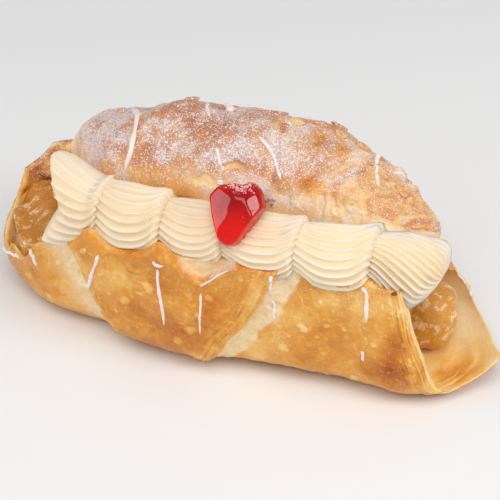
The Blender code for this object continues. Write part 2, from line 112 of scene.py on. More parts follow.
def unit(vectors: Array, least: float = 1e-9) -> Array:
    """The vectors at length 1, but for those shorter than least."""
    return vectors / np.maximum(np.linalg.norm(vectors, axis=-1, keepdims=True), least)


def turned(a: Array, b: Array, degrees: float) -> tuple[Array, Array]:
    """Two directions turned together in their own plane."""
    c, s = math.cos(math.radians(degrees)), math.sin(math.radians(degrees))
    return a * c + b * s, b * c - a * s


def surface_normals(surface: Callable[[Array, Array], Array], a: Array, b: Array) -> Array:
    """Unit normals of a surface of two parameters, from small steps of each.

    Args:
        surface: gives places from the two parameters.
        a: the first parameter.
        b: the second parameter.

    Returns:
        The normal at each place.
    """
    h = 1e-3
    along_a = surface(a + h, b) - surface(a - h, b)
    along_b = surface(a, b + h) - surface(a, b - h)
    return unit(np.cross(along_a, along_b), 1e-12)


def lattice(cells: Array, seed: int) -> Array:
    """A fixed random number from 0 to 1 for each whole-number cell.

    Args:
        cells: whole numbers in threes, on the last axis.
        seed: which set of numbers.

    Returns:
        One number for each cell.
    """
    x, y, z = (cells[..., k].astype(np.int64).astype(np.uint64) for k in range(3))
    mask = np.uint64(0xFFFFFFFF)
    h = x * np.uint64(374761393) + y * np.uint64(668265263) + z * np.uint64(1442695041)
    h = (h + np.uint64(seed * 974634777 % 2**32)) & mask
    h = ((h ^ (h >> np.uint64(13))) * np.uint64(1274126177)) & mask
    h = ((h ^ (h >> np.uint64(16))) * np.uint64(2246822519)) & mask
    return ((h ^ (h >> np.uint64(15))) & np.uint64(0xFFFFFF)).astype(float) / float(0xFFFFFF)


@dataclass(frozen=True)
class Noise:
    """Seeded smooth noise between -1 and 1, with features of about size millimetres."""

    size: float
    seed: int = 0
    octaves: int = 3

    def at(self, points: Array) -> Array:
        """The noise at each point.

        Args:
            points: places in millimetres.

        Returns:
            One number for each point.
        """
        total, weight, whole = 0.0, 1.0, 0.0
        for octave in range(self.octaves):
            p = points * (2**octave / self.size) + 17.37 * octave
            base = np.floor(p)
            f = p - base
            f = f * f * (3 - 2 * f)
            value = 0.0
            for corner in range(8):
                step = np.array([(corner >> k) & 1 for k in range(3)])
                share = np.prod(np.where(step == 1, f, 1 - f), axis=-1)
                value = value + share * lattice(base + step, self.seed + octave)
            total = total + weight * (2 * value - 1)
            whole += weight
            weight *= 0.5
        return total / whole


@dataclass(frozen=True)
class Cells:
    """Seeded cells scattered about size millimetres apart."""

    size: float
    seed: int = 0

    def at(self, points: Array) -> tuple[Array, Array, Array]:
        """The distance to the two nearest cell centres and the nearest cell's own number.

        Args:
            points: places in millimetres.

        Returns:
            Nearest and second distance in cell sizes, and a number from 0 to 1.
        """
        p = points / self.size
        base = np.floor(p)
        first = np.full(points.shape[:-1], 9.0)
        second = first.copy()
        own = np.zeros(points.shape[:-1])
        for k in range(27):
            cell = base + np.array([k % 3 - 1, k // 3 % 3 - 1, k // 9 - 1])
            jitter = np.stack([lattice(cell, self.seed + n) for n in range(3)], -1)
            far = np.linalg.norm(cell + jitter - p, axis=-1)
            nearer = far < first
            second = np.where(nearer, first, np.minimum(second, far))
            own = np.where(nearer, lattice(cell, self.seed + 3), own)
            first = np.where(nearer, far, first)
        return first, second, own


# -------- forms shared with the solids


@dataclass(frozen=True)
class Tear:
    """The V-shaped torn place at the front rim: where it is, how wide each half is, and its depths."""

    centre: float = -5.5
    left: float = 6.8
    right: float = 10.5
    depth: float = 6.2
    layer: float = 2.8


@dataclass(frozen=True)
class Dent:
    """The hollow round the split in the top: where it is, how far it spreads, and its depth."""

    x: float = -2.0
    y: float = -6.5
    along: float = 4.0
    across: float = 2.6
    depth: float = 2.0


@dataclass(frozen=True)
class TroughForm:
    """The lower half of the pastry. s runs -2..2 from front rim to back, u runs 0..3 along it."""

    front_reach: Stations = (
        (-89, 6), (-84, 12), (-76, 18), (-67, 21.5), (-57, 23.5), (-42, 25), (-8, 28), (22, 27), (43, 25.5),
        (66, 22), (73, 19.5), (80, 16), (88, 10),
    )
    back_reach: Stations = (
        (-89, 8), (-84, 15), (-76, 21), (-67, 26), (-57, 30), (-42, 33), (-8, 36), (30, 35), (50, 32),
        (66, 27), (75, 22), (88, 13),
    )
    axis_y: Stations = ((40, 0), (66, -3), (86, -5))
    front_rim_y: Stations = (
        (-78, 16.5), (-66, 21), (-56, 24), (-38, 27), (-15, 28), (10, 26.5), (30, 24.5), (60, 21),
    )
    front_rim_z: Stations = (
        (-76, 20), (-67, 28), (-58, 34.5), (-38, 39.5), (-15, 42.5), (30, 44.5), (58, 43.5),
    )
    back_rim_y: Stations = (
        (-87, 8), (-79, 16), (-66, 21), (-50, 26), (-20, 31), (20, 32), (45, 27), (66, 20),
    )
    back_rim_z: Stations = (
        (-87, 41), (-77, 41.5), (-66, 43.5), (-50, 50), (-20, 54), (30, 50), (50, 42), (66, 25),
    )
    left_end: Stations = (
        (-2, -66), (-1.5, -71), (-1, -78), (-0.5, -84.3), (0, -86.8), (0.6, -86.8), (1, -85.3),
        (1.5, -82.3), (2, -76),
    )
    right_end: Stations = (
        (-2, 55.5), (-1.5, 59.5), (-1, 65), (-0.5, 70.5), (-0.25, 77), (0, 84.2), (0.3, 81), (0.7, 74.8),
        (1, 68), (1.5, 60.3), (2, 54),
    )
    flap_left: Stations = ((0, -22), (8, -33), (15, -40), (22, -45), (34, -50), (44, -54))
    flap_right: Stations = ((0, -12), (8, -5), (16, 3), (23, 10), (35, 17), (42, 20.5))
    left_curl: Triple = (-63.0, 26.5, 34.0)
    right_curl: Stations = ((60, 0), (72, 2.5), (86, 10))
    belly: float = 16.0
    power: float = 2.8
    floor_cut: float = 0.7
    tear: Tear = Tear()
    wall: float = 5.0
    rim_wall: float = 3.4
    layered_extra: float = 2.8
    flap_step: float = 2.8

    def underside(self, x: Array) -> Array:
        """Height of the underside: flat where it rests, with both ends curling up.

        Args:
            x: how far along the pastry each place is.

        Returns:
            The height at each x.
        """
        start, length, rise = self.left_curl
        f = np.clip((start - x) / length, 0.0, 0.985)
        return rise * (1.0 - np.sqrt(1.0 - f * f)) + through(self.right_curl, x)

    def side(self, x: Array, q: Array, front: bool) -> tuple[Array, Array]:
        """A point of the section: q is 0 at the bottom, 1 at the widest and 2 at the rim.

        Args:
            x: how far along the pastry each place is.
            q: how far up the section each place is.
            front: whether it is the front half of the section.

        Returns:
            y and z of each place.
        """
        reach = through(self.front_reach if front else self.back_reach, x)
        rim_y = through(self.front_rim_y if front else self.back_rim_y, x)
        rim_z = through(self.front_rim_z if front else self.back_rim_z, x)
        lift = self.underside(x)
        angle = np.clip(q, 0.0, 1.0) * math.pi / 2
        power = 2.0 / self.power
        y = reach * np.sin(angle) ** power
        belly = self.belly - 5.0 * smooth(60.0, 84.0, x)
        z = np.maximum(belly * (1.0 - np.cos(angle) ** power) - self.floor_cut, 0.0) + lift
        rise = np.clip(q - 1.0, 0.0, 1.0)
        y = np.where(q > 1.0, lerp(reach, rim_y, rise**1.9), y)
        low = belly - self.floor_cut + lift
        z = np.where(q > 1.0, low + np.maximum(rim_z - low, 1.0) * rise, z)
        return through(self.axis_y, x) + (-y if front else y), z

    @staticmethod
    def front(s: Array) -> Array:
        """1 on the front face, fading out towards the underside and 0 behind."""
        return smooth(0.3, 0.9, -s)

    def flap_edges(self, s: Array) -> tuple[Array, Array]:
        """x of the folded corner's two edges at each s.

        Args:
            s: places round the section.

        Returns:
            x of its left and of its right edge.
        """
        height = np.clip(-s, 0.0, 2.0) / 2.0
        z = lerp(0.0, 40.0, height**1.25)
        behind = smooth(0.0, 1.0, s)
        left = lerp(through(self.flap_left, z), -38.0, behind)
        return left, lerp(through(self.flap_right, z), 8.0, behind)

    def x_of(self, s: Array, u: Array) -> Array:
        """x of a point of the trough.

        Args:
            s: places round the section.
            u: places along the pastry.

        Returns:
            x of each place.
        """
        left, right = through(self.left_end, s), through(self.right_end, s)
        flap_left, flap_right = self.flap_edges(s)
        x = lerp(left, flap_left, np.clip(u, -1.0, 1.0))
        x = np.where(u > 1.0, lerp(flap_left, flap_right, u - 1.0), x)
        return np.where(u > 2.0, lerp(flap_right, right, u - 2.0), x)

    def u_of(self, s: Array, x: Array) -> Array:
        """The u at which the trough reaches x.

        Args:
            s: places round the section.
            x: how far along the pastry each place is.

        Returns:
            u of each place.
        """
        left, right = through(self.left_end, s), through(self.right_end, s)
        flap_left, flap_right = self.flap_edges(s)
        u = np.where(x < flap_left, (x - left) / (flap_left - left), 1.0)
        u = np.where(x > flap_left, 1.0 + (x - flap_left) / (flap_right - flap_left), u)
        return np.where(x > flap_right, 2.0 + (x - flap_right) / (right - flap_right), u)

    def plain(self, s: Array, u: Array) -> Array:
        """The outer face without its relief.

        Args:
            s: places round the section.
            u: places along the pastry.

        Returns:
            The places.
        """
        x = self.x_of(s, u)
        q = np.abs(s)
        front_y, front_z = self.side(x, q, True)
        back_y, back_z = self.side(x, q, False)
        return np.stack([x, np.where(s < 0, front_y, back_y), np.where(s < 0, front_z, back_z)], -1)

    def inside_tear(self, points: Array) -> Array:
        """How far above the edge of the V-shaped tear each place is, in millimetres.

        Args:
            points: places in millimetres.

        Returns:
            The height above the edge.
        """
        x = points[..., 0]
        from_middle = (x - self.tear.centre) / np.where(x < self.tear.centre, self.tear.left, self.tear.right)
        vee = self.tear.depth * (1.0 - np.hypot(from_middle, 0.12))
        return points[..., 2] - through(self.front_rim_z, x) + vee + 0.5 * Noise(2.6, 71, 2).at(points)

    def torn(self, points: Array, s: Array) -> Array:
        """How deep the torn place at the front rim goes, from 0 to its full layer."""
        return self.tear.layer * smooth(-0.15, 0.25, self.inside_tear(points)) * (s < -1.0)

    def relief(self, s: Array, u: Array) -> Array:
        """How far the main folds of the crust stand out from the plain face.

        Args:
            s: places round the section.
            u: places along the pastry.

        Returns:
            The distance out of the plain face.
        """
        points = self.plain(s, u)
        x = points[..., 0]
        front = self.front(s)
        left, right = self.flap_edges(s)
        ragged = 0.7 * Noise(6.0, 11, 3).at(points)
        inside = np.minimum(x - left, right - x) + ragged
        ledge = 0.5 * smooth(-0.3, 0.4, inside) + 0.3 * smooth(0.9, 1.5, inside)
        ledge = ledge + 0.2 * smooth(2.4, 3.4, inside)
        swell = 2.6 * bump(x, -14.0, 20.0) * front * (1.0 - smooth(1.3, 2.0, -s))
        beside = 1.2 * bump(u, 2.12, 0.10) * front
        wave = 1.0 * np.sin(x * 0.17 + 1.3) * np.sin(np.abs(s) * 2.6 + x * 0.05)
        wave = wave * (1.0 - smooth(1.3, 1.8, s)) * smooth(0.45, 0.9, np.abs(s))
        return self.flap_step * ledge * front + swell - beside - self.torn(points, s) + wave

    def outer(self, s: Array, u: Array) -> Array:
        """The outer face with its main folds."""
        return self.plain(s, u) + surface_normals(self.plain, s, u) * self.relief(s, u)[..., None]

    def inner(self, s: Array, u: Array, gap: float = 0.0) -> Array:
        """The inner face of the wall, which is thinner towards its ends and rims.

        Args:
            s: places round the section.
            u: places along the pastry.
            gap: how much further in than the wall it is.

        Returns:
            The places.
        """
        edge = np.maximum(smooth(0.35, 0.0, u), smooth(2.7, 3.0, u))
        edge = np.maximum(edge, smooth(1.2, 2.0, np.abs(s)))
        thick = lerp(self.wall, self.rim_wall, edge) + gap
        thick = thick + self.layered_extra * smooth(2.6, 3.0, u) * smooth(-0.5, -1.1, s)
        thick = thick - 1.3 * smooth(0.12, 0.0, u)
        return self.plain(s, u) - surface_normals(self.plain, s, u) * thick[..., None]


@dataclass(frozen=True)
class TopForm:
    """The domed top. angle is pi at the front edge, pi/2 at the ridge and 0 behind, u is 0..2."""

    left: float = -70.0
    right: float = 60.0
    front_y: Stations = (
        (-68, 15), (-60, 6), (-49, -5), (-35, -8.5), (-11, -11.5), (20, -9.5), (43, -5), (52, -1), (60, 7),
    )
    front_z: Stations = (
        (-68, 40), (-60, 44), (-49, 47), (-35, 48), (-11, 53), (20, 51), (43, 49), (52, 46.5), (60, 44),
    )
    back_y: Stations = ((-69, 22), (-56, 27), (-30, 32), (0, 33), (20, 33), (45, 28), (60, 19))
    back_z: Stations = ((-68, 36), (-50, 44), (-20, 47), (30, 46), (60, 38))
    crest: Stations = (
        (-70, 45), (-64, 53), (-54, 59.5), (-44, 64), (-30, 68.5), (-12, 71.5), (4, 71.5), (20, 69.5),
        (33, 65), (43, 59), (52, 52), (60, 45.5),
    )
    under_drop: float = 5.0
    fold_line: tuple[float, float] = (19.0, 0.69)
    fold_step: float = 1.8
    dent: Dent = Dent()

    def marks(self, angle: Array) -> tuple[Array, Array]:
        """x of the left end and of the fold line.

        Args:
            angle: places over the top, in radians.

        Returns:
            Both at each angle.
        """
        over = np.clip(np.sin(angle), 0.0, 1.0)
        y = 11.0 + 22.0 * np.cos(angle)
        fold = lerp(25.0, self.fold_line[0] + self.fold_line[1] * (y + 9.0), smooth(0.0, 0.35, over))
        return self.left + 2.0 * np.cos(angle), fold

    def x_of(self, angle: Array, u: Array) -> Array:
        """x of a point of the top."""
        left, fold = self.marks(angle)
        return np.where(u < 1.0, lerp(left, fold, u), lerp(fold, self.right, u - 1.0))

    def u_of(self, angle: Array, x: Array) -> Array:
        """The u at which the top reaches x."""
        left, fold = self.marks(angle)
        return np.where(x < fold, (x - left) / (fold - left), 1.0 + (x - fold) / (self.right - fold))

    def plain(self, angle: Array, u: Array) -> Array:
        """The skin of the top without its relief.

        Args:
            angle: places over the top, in radians.
            u: places along the pastry.

        Returns:
            The places.
        """
        x = self.x_of(angle, u)
        front_y, front_z = through(self.front_y, x), through(self.front_z, x)
        back_y, back_z = through(self.back_y, x), through(self.back_z, x)
        over, along = np.sin(angle), np.cos(angle)
        height = through(self.crest, x) - (front_z + back_z) / 2
        lift = np.where(over > 0, height * np.abs(over) ** 0.8, -self.under_drop * np.abs(over) ** 0.7)
        y = lerp(front_y, back_y, (1 + along) / 2)
        return np.stack([x, y, lerp(front_z, back_z, (1 + along) / 2) + lift], -1)

    def relief(self, angle: Array, u: Array) -> Array:
        """How far the main swells of the crust stand out from the plain skin.

        Args:
            angle: places over the top, in radians.
            u: places along the pastry.

        Returns:
            The distance out of the plain skin.
        """
        point = self.plain(angle, u)
        x, y = point[..., 0], point[..., 1]
        upper = smooth(0.1, 0.5, np.sin(angle))
        step = -self.fold_step * smooth(0.985, 1.015, u)
        wave = 0.9 * np.sin(x * 0.21 + 0.6) * np.sin(y * 0.15 + x * 0.03)
        puff = 1.2 * bump(x, -30.0, 9.0) * bump(y, 10.0, 14.0)
        dent = self.dent.depth * bump(x, self.dent.x, self.dent.along)
        dent = dent * bump(y, self.dent.y, self.dent.across)
        return upper * (step + wave + puff - dent)

    def outer(self, angle: Array, u: Array) -> Array:
        """The skin of the top with its main swells."""
        lift = self.relief(angle, u)[..., None]
        return self.plain(angle, u) + surface_normals(self.plain, angle, u) * lift


# -------- modelling


class Bench:
    """The Blender operators that the pieces are modelled with."""

    @staticmethod
    def idle() -> None:
        """Leaves nothing selected."""
        if bpy.context.object and bpy.context.object.mode != "OBJECT":
            bpy.ops.object.mode_set(mode="OBJECT")
        bpy.ops.object.select_all(action="DESELECT")

    @staticmethod
    def take(made: Piece) -> None:
        """Selects one object and makes it the active one.

        Args:
            made: the object.
        """
        Bench.idle()
        made.select_set(True)
        bpy.context.view_layer.objects.active = made

    @staticmethod
    def sheet(name: str, points: Array, masks: dict[str, Array] | None = None) -> Piece:
        """A grid primitive with its crossings shaped onto a surface.

        Args:
            name: the piece's name.
            points: rows by columns of places in millimetres.
            masks: numbers kept on the mesh for its material, one for each place.

        Returns:
            The new object, at the origin, with its place in its mesh.
        """
        Bench.idle()
        rows, columns = points.shape[:2]
        bpy.ops.mesh.primitive_grid_add(x_subdivisions=columns - 1, y_subdivisions=rows - 1, size=1.0)
        made = bpy.context.object
        made.name = made.data.name = name
        if len(made.data.vertices) != rows * columns:
            raise ValueError(f"{name}: the grid has {len(made.data.vertices)} places")
        Bench.shape(made, points, masks or {})
        return made

    @staticmethod
    def shape(made: Piece, points: Array, masks: dict[str, Array]) -> None:
        """Moves a mesh's points to their places and keeps masks on it.

        Args:
            made: the object.
            points: the places in millimetres, in the order of the mesh's points.
            masks: numbers for its material, one for each place.
        """
        made.data.vertices.foreach_set("co", ((points + PLACE) * MM).astype(np.float32).ravel())
        for mask, values in masks.items():
            layer = made.data.attributes.new(mask, "FLOAT", "POINT")
            values = np.broadcast_to(values, points.shape[:-1])
            layer.data.foreach_set("value", np.ascontiguousarray(values, np.float32).ravel())
        made.data.update()

    @staticmethod
    def close(made: Piece) -> None:
        """Merges the seams and poles, fills what is open, and turns the faces outwards.

        Args:
            made: the object.
        """
        Bench.take(made)
        bpy.ops.object.mode_set(mode="EDIT")
        bpy.ops.mesh.select_all(action="SELECT")
        bpy.ops.mesh.remove_doubles(threshold=SEAM)
        bpy.ops.mesh.select_all(action="DESELECT")
        bpy.ops.mesh.select_mode(type="EDGE")
        bpy.ops.mesh.select_non_manifold(extend=False)
        bpy.ops.mesh.fill_holes(sides=0)
        bpy.ops.mesh.select_mode(type="VERT")
        bpy.ops.mesh.select_all(action="SELECT")
        bpy.ops.mesh.normals_make_consistent(inside=False)
        bpy.ops.mesh.select_all(action="DESELECT")
        bpy.ops.object.mode_set(mode="OBJECT")

    @staticmethod
    def smooth(made: Piece) -> None:
        """Shades a piece smooth."""
        Bench.take(made)
        bpy.ops.object.shade_smooth()

    @staticmethod
    def finish(parts: list[Piece], name: str) -> Piece:
        """Closes parts, joins them into one piece and shades it smooth.

        Args:
            parts: the parts, of which the first becomes the whole.
            name: the name of the whole.

        Returns:
            The finished piece.
        """
        for part in parts:
            Bench.close(part)
        Bench.take(parts[0])
        for part in parts[1:]:
            part.select_set(True)
        if len(parts) > 1:
            bpy.ops.object.join()
        made = bpy.context.object
        made.name = made.data.name = name
        Bench.smooth(made)
        return made

    @staticmethod
    def dress(made: Piece, material: bpy.types.Material, slot: str,
              nodes: tuple[str, ...]) -> None:
        """Gives a piece its material and its place on the body, and hides the solids that it stands for.

        Args:
            made: the piece.
            material: its only material.
            slot: not used.
            nodes: the solids that it stands for.
        """
        made.data.materials.clear()
        made.data.materials.append(material)
        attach(made, "root")
        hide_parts(*nodes)
        LOG.info("%s: %d faces", made.name, len(made.data.polygons))


# -------- materials


class Tree:
    """Adds and joins the nodes of one node tree in short calls."""

    def __init__(self, tree: bpy.types.NodeTree) -> None:
        """Takes the tree that the nodes go into."""
        self.tree = tree

    def add(self, kind: str, *links: object, **settings: object) -> bpy.types.Node:
        """A new node.

        Args:
            kind: the node's type, without the leading ShaderNode.
            links: for each input in order, a socket to join or a value.
            settings: properties of the node.

        Returns:
            The node.
        """
        node = self.tree.nodes.new("ShaderNode" + kind)
        for key, value in settings.items():
            setattr(node, key, value)
        for socket, source in zip(node.inputs, links):
            self.put(source, socket)
        return node

    def put(self, source: object, socket: Socket) -> None:
        """Joins a socket to another, or sets its value.

        Args:
            source: the socket that it is joined to, or the value that it takes.
            socket: the input.
        """
        if isinstance(source, Socket):
            self.tree.links.new(source, socket)
        else:
            socket.default_value = source

    def math(self, operation: str, *values: object, clamp: bool = False) -> Socket:
        """One sum of two or three numbers."""
        return self.add("Math", *values, operation=operation, use_clamp=clamp).outputs[0]

    def times(self, value: object, share: object) -> Socket:
        """One number times another."""
        return self.math("MULTIPLY", value, share)

    def sway(self, base: object, value: object, share: float, clamp: bool = False) -> Socket:
        """A base number, raised where a value is over a half and lowered where it is under.

        Args:
            base: the number.
            value: what sways it, from 0 to 1.
            share: how much of the value is felt.
            clamp: whether the result is kept from 0 to 1.

        Returns:
            The swayed number.
        """
        middle = 0.5
        return self.math("MULTIPLY_ADD", self.math("SUBTRACT", value, middle), share, base, clamp=clamp)

    def mix(self, share: object, a: object, b: object) -> Socket:
        """The colour that is a share of the way from a to b.

        Args:
            share: 0 for the first colour and 1 for the second.
            a: the first colour, or a socket that gives it.
            b: the second colour, or a socket that gives it.

        Returns:
            The mixed colour.
        """
        node = self.add("Mix", data_type="RGBA")
        for name, source in (("Factor_Float", share), ("A_Color", a), ("B_Color", b)):
            if isinstance(source, tuple):
                source = (*source, 1.0)
            self.put(source, next(socket for socket in node.inputs if socket.identifier == name))
        return next(socket for socket in node.outputs if socket.identifier == "Result_Color")

    def mask(self, name: str) -> Socket:
        """A number kept on the mesh."""
        return self.add("Attribute", attribute_name=name, attribute_type="GEOMETRY").outputs["Fac"]

    def between(self, value: object, low: float, high: float) -> Socket:
        """0 where the value is under low, 1 where it is over high, and smooth between."""
        return self.add("MapRange", value, low, high, 0.0, 1.0, interpolation_type="SMOOTHSTEP").outputs[0]

    def noise(self, where: object, size: float, detail: float = 2.0,
              rough: float = 0.55) -> Socket:
        """Noise from 0 to 1.

        Args:
            where: the coordinates.
            size: the size of its features in millimetres.
            detail: how many finer layers it has.
            rough: how strong the finer layers are.

        Returns:
            The noise.
        """
        node = self.add("TexNoise")
        inputs = {"Vector": where, "Scale": 1.0 / (size * MM), "Detail": detail, "Roughness": rough}
        for name, source in inputs.items():
            self.put(source, node.inputs[name])
        return node.outputs["Fac"]

    def ramp(self, value: object, stops: tuple[tuple[float, Colour], ...]) -> Socket:
        """A colour looked up on a row of stops.

        Args:
            value: the place on the row, from 0 to 1.
            stops: the place and colour of each stop.

        Returns:
            The colour.
        """
        node = self.add("ValToRGB", value)
        line = node.color_ramp.elements
        while len(line) < len(stops):
            line.new(1.0)
        for element, (place, colour) in zip(line, stops):
            element.position = place
            element.color = (*colour, 1.0)
        return node.outputs[0]

    def specks(self, where: object, scale: float, amount: object) -> Socket:
        """Where fine specks lie.

        Args:
            where: the coordinates.
            scale: how many specks fit in a metre.
            amount: how thickly they lie, from 0 to 1.

        Returns:
            1 on a speck and 0 beside it.
        """
        return self.add("Group", where, scale, amount, node_tree=speck_group()).outputs["Mask"]


def srgb(red: float, green: float, blue: float) -> Colour:
    """A colour given from 0 to 255 as the eye sees it, as the renderer's linear numbers."""
    return tuple(float(((c / 255 + 0.055) / 1.055) ** 2.4 if c > 10 else c / 255 / 12.92)
                 for c in (red, green, blue))


def speck_group() -> bpy.types.NodeTree:
    """A group that scatters fine specks, coarse ones first and finer ones where they lie thickest.

    Returns:
        A tree with inputs Vector, Scale and Amount and the output Mask.
    """
    group = bpy.data.node_groups.get("specks")
    if group:
        return group
    group = bpy.data.node_groups.new("specks", "ShaderNodeTree")
    for name, way, kind in (("Vector", "INPUT", "Vector"), ("Scale", "INPUT", "Float"),
                            ("Amount", "INPUT", "Float"), ("Mask", "OUTPUT", "Float")):
        group.interface.new_socket(name, in_out=way, socket_type="NodeSocket" + kind)
    tree = Tree(group)
    vector, scale, amount = group.nodes.new("NodeGroupInput").outputs[:3]
    drift = tree.add("TexNoise")
    tree.put(vector, drift.inputs["Vector"])
    tree.put(tree.times(scale, 0.11), drift.inputs["Scale"])
    level = tree.times(amount, tree.math("ADD", drift.outputs["Fac"], 0.55))
    mask = 0.0
    for share, reach, need in ((1.0, 0.41, 0.0), (0.6, 0.36, 0.30)):
        grains = tree.add("TexVoronoi")
        tree.put(vector, grains.inputs["Vector"])
        tree.put(tree.times(scale, share), grains.inputs["Scale"])
        own = tree.add("SeparateColor", grains.outputs["Color"])
        there = tree.between(tree.math("SUBTRACT", level, own.outputs[0]), need - 0.02, need + 0.04)
        size = tree.math("MULTIPLY_ADD", own.outputs[1], 0.26, reach)
        dot = tree.between(tree.math("SUBTRACT", size, grains.outputs["Distance"]), 0.0, 0.14)
        mask = tree.math("MAXIMUM", tree.times(there, dot), mask)
    tree.put(mask, group.nodes.new("NodeGroupOutput").inputs["Mask"])
    return group


class Finish:
    """What every finish shares: a new material with one Principled shader."""

    name: str = "finish"

    def start(self) -> tuple[Tree, Socket]:
        """Begins the material.

        Returns:
            Its tree and the object coordinates.
        """
        self.material = bpy.data.materials.new(self.name)
        self.material.use_nodes = True
        self.tree = Tree(self.material.node_tree)
        self.shader = self.material.node_tree.nodes["Principled BSDF"]
        return self.tree, self.tree.add("TexCoord").outputs["Object"]

    def fill(self, inputs: dict[str, object]) -> None:
        """Joins or sets the shader's inputs by name."""
        for name, source in inputs.items():
            self.tree.put(source, self.shader.inputs[name])

    def soften(self, weight: float, radius: Triple) -> None:
        """Lets light into the surface, to a depth in metres for red, green and blue."""
        self.fill({"Subsurface Weight": weight, "Subsurface Radius": radius, "Subsurface Scale": 1.0})

    def roughen(self, height: Socket, strength: float, depth: float) -> None:
        """Gives the surface fine relief.

        Args:
            height: the relief, from 0 to 1.
            strength: how much of it is felt.
            depth: its full depth in metres.
        """
        lift = self.tree.add("Bump", strength, depth)
        self.tree.put(height, lift.inputs["Height"])
        self.fill({"Normal": lift.outputs[0]})


@dataclass
class CrustFinish(Finish):
    """Baked laminated dough: browned, glazed in places, and dusted with sugar, whose faint specks on the
    lower half also serve as painted glints.
    """

    name: str = "baked_crust"
    raw: Colour = srgb(246, 218, 164)
    pale: Colour = srgb(244, 196, 112)
    golden: Colour = srgb(226, 156, 60)
    brown: Colour = srgb(194, 112, 28)
    dark: Colour = srgb(150, 62, 10)
    dough: Colour = srgb(252, 232, 192)
    shade: Colour = srgb(242, 212, 164)
    sugar: Colour = srgb(241, 231, 229)
    grains_in_metre: float = 2500.0

    def build(self) -> bpy.types.Material:
        """The material, which reads bake, pale, sugar and shine from the mesh.

        Returns:
            The material.
        """
        tree, where = self.start()
        coarse = tree.noise(where, 5.0, 3.0)
        fine = tree.noise(where, 1.0, 3.0, 0.65)
        streak = tree.add("Mapping", where)
        streak.inputs["Scale"].default_value = (0.35, 1.0, 1.0)
        fibres = tree.noise(streak.outputs[0], 0.7, 2.0, 0.6)
        heat = tree.mask("bake")
        for value, share in ((coarse, 0.30), (fine, 0.18), (fibres, 0.11)):
            heat = tree.sway(heat, value, share)
        crust = tree.ramp(heat, ((0.0, self.raw), (0.26, self.pale), (0.5, self.golden), (0.76, self.brown),
                                 (1.0, self.dark)))
        cloud = tree.math("MULTIPLY_ADD", fine, 0.5, coarse)
        plain = tree.mix(tree.between(cloud, 0.6, 0.95), self.shade, self.dough)
        base = tree.mix(tree.mask("pale"), crust, plain)
        grains = tree.specks(where, self.grains_in_metre, tree.mask("sugar"))
        film = tree.times(tree.math("SUBTRACT", tree.mask("sugar"), 0.1, clamp=True), 0.46)
        base = tree.mix(tree.math("MAXIMUM", tree.times(grains, 0.95), film), base, self.sugar)
        gloss = tree.math("MULTIPLY_ADD", tree.mask("shine"), -0.30, 0.60)
        gloss = tree.math("MULTIPLY_ADD", grains, 0.3, gloss, clamp=True)
        self.fill({"Base Color": base, "Roughness": gloss, "Specular IOR Level": 0.28,
                   "Coat Weight": tree.times(tree.mask("shine"), 0.25), "Coat Roughness": 0.18})
        self.soften(0.10, (0.0025, 0.0012, 0.0005))
        height = tree.math("MULTIPLY_ADD", grains, 0.6, tree.times(fine, 0.8))
        self.roughen(tree.math("MULTIPLY_ADD", fibres, 0.35, height), 0.6, 0.00035)
        return self.material


@dataclass
class CreamFinish(Finish):
    """Soft whipped cream, with painted shade: paler on its crests and yellower in its folds."""

    name: str = "whipped_cream"
    crest: Colour = srgb(246, 236, 223)
    fold: Colour = srgb(246, 221, 182)

    def build(self) -> bpy.types.Material:
        """The material, which reads crest from the mesh and paints shade from it.

        Returns:
            The material.
        """
        tree, where = self.start()
        # Painted shade: the folds between ridges take the yellower colour, the crests the paler one.
        share = tree.sway(tree.mask("crest"), tree.noise(where, 1.6, 3.0), 0.25, clamp=True)
        self.fill({"Base Color": tree.mix(share, self.fold, self.crest), "Roughness": 0.5,
                   "Specular IOR Level": 0.35})
        self.soften(0.25, (0.004, 0.003, 0.0016))
        self.roughen(tree.noise(where, 0.55, 2.0), 0.3, 0.0003)
        return self.material


@dataclass
class FruitFinish(Finish):
    """Soft pieces of fruit in amber syrup, with small glints painted into the colour as pale specks."""

    name: str = "fruit_in_syrup"
    deep: Colour = srgb(192, 118, 26)
    light: Colour = srgb(226, 166, 66)
    painted_glint: Colour = srgb(252, 228, 192)

    def build(self) -> bpy.types.Material:
        """The material, which reads piece from the mesh.

        Returns:
            The material.
        """
        tree, where = self.start()
        cloud = tree.noise(where, 3.0, 3.0)
        grain = tree.noise(where, 0.45, 2.0, 0.7)
        share = tree.math("MULTIPLY_ADD", tree.mask("piece"), 0.5, tree.times(cloud, 0.6), clamp=True)
        base = tree.mix(share, self.deep, self.light)
        # Painted glints: pale specks and patches mixed into the colour where wet highlights would be.
        wet = tree.times(tree.between(cloud, 0.56, 0.60), tree.between(grain, 0.40, 0.56))
        wet = tree.math("MAXIMUM", wet, tree.between(grain, 0.60, 0.70))
        self.fill({"Base Color": tree.mix(tree.times(wet, 0.8), base, self.painted_glint), "Roughness": 0.3,
                   "Specular IOR Level": 0.3, "Coat Weight": 0.5, "Coat Roughness": 0.1})
        self.soften(0.4, (0.006, 0.003, 0.001))
        self.roughen(grain, 0.4, 0.0003)
        return self.material


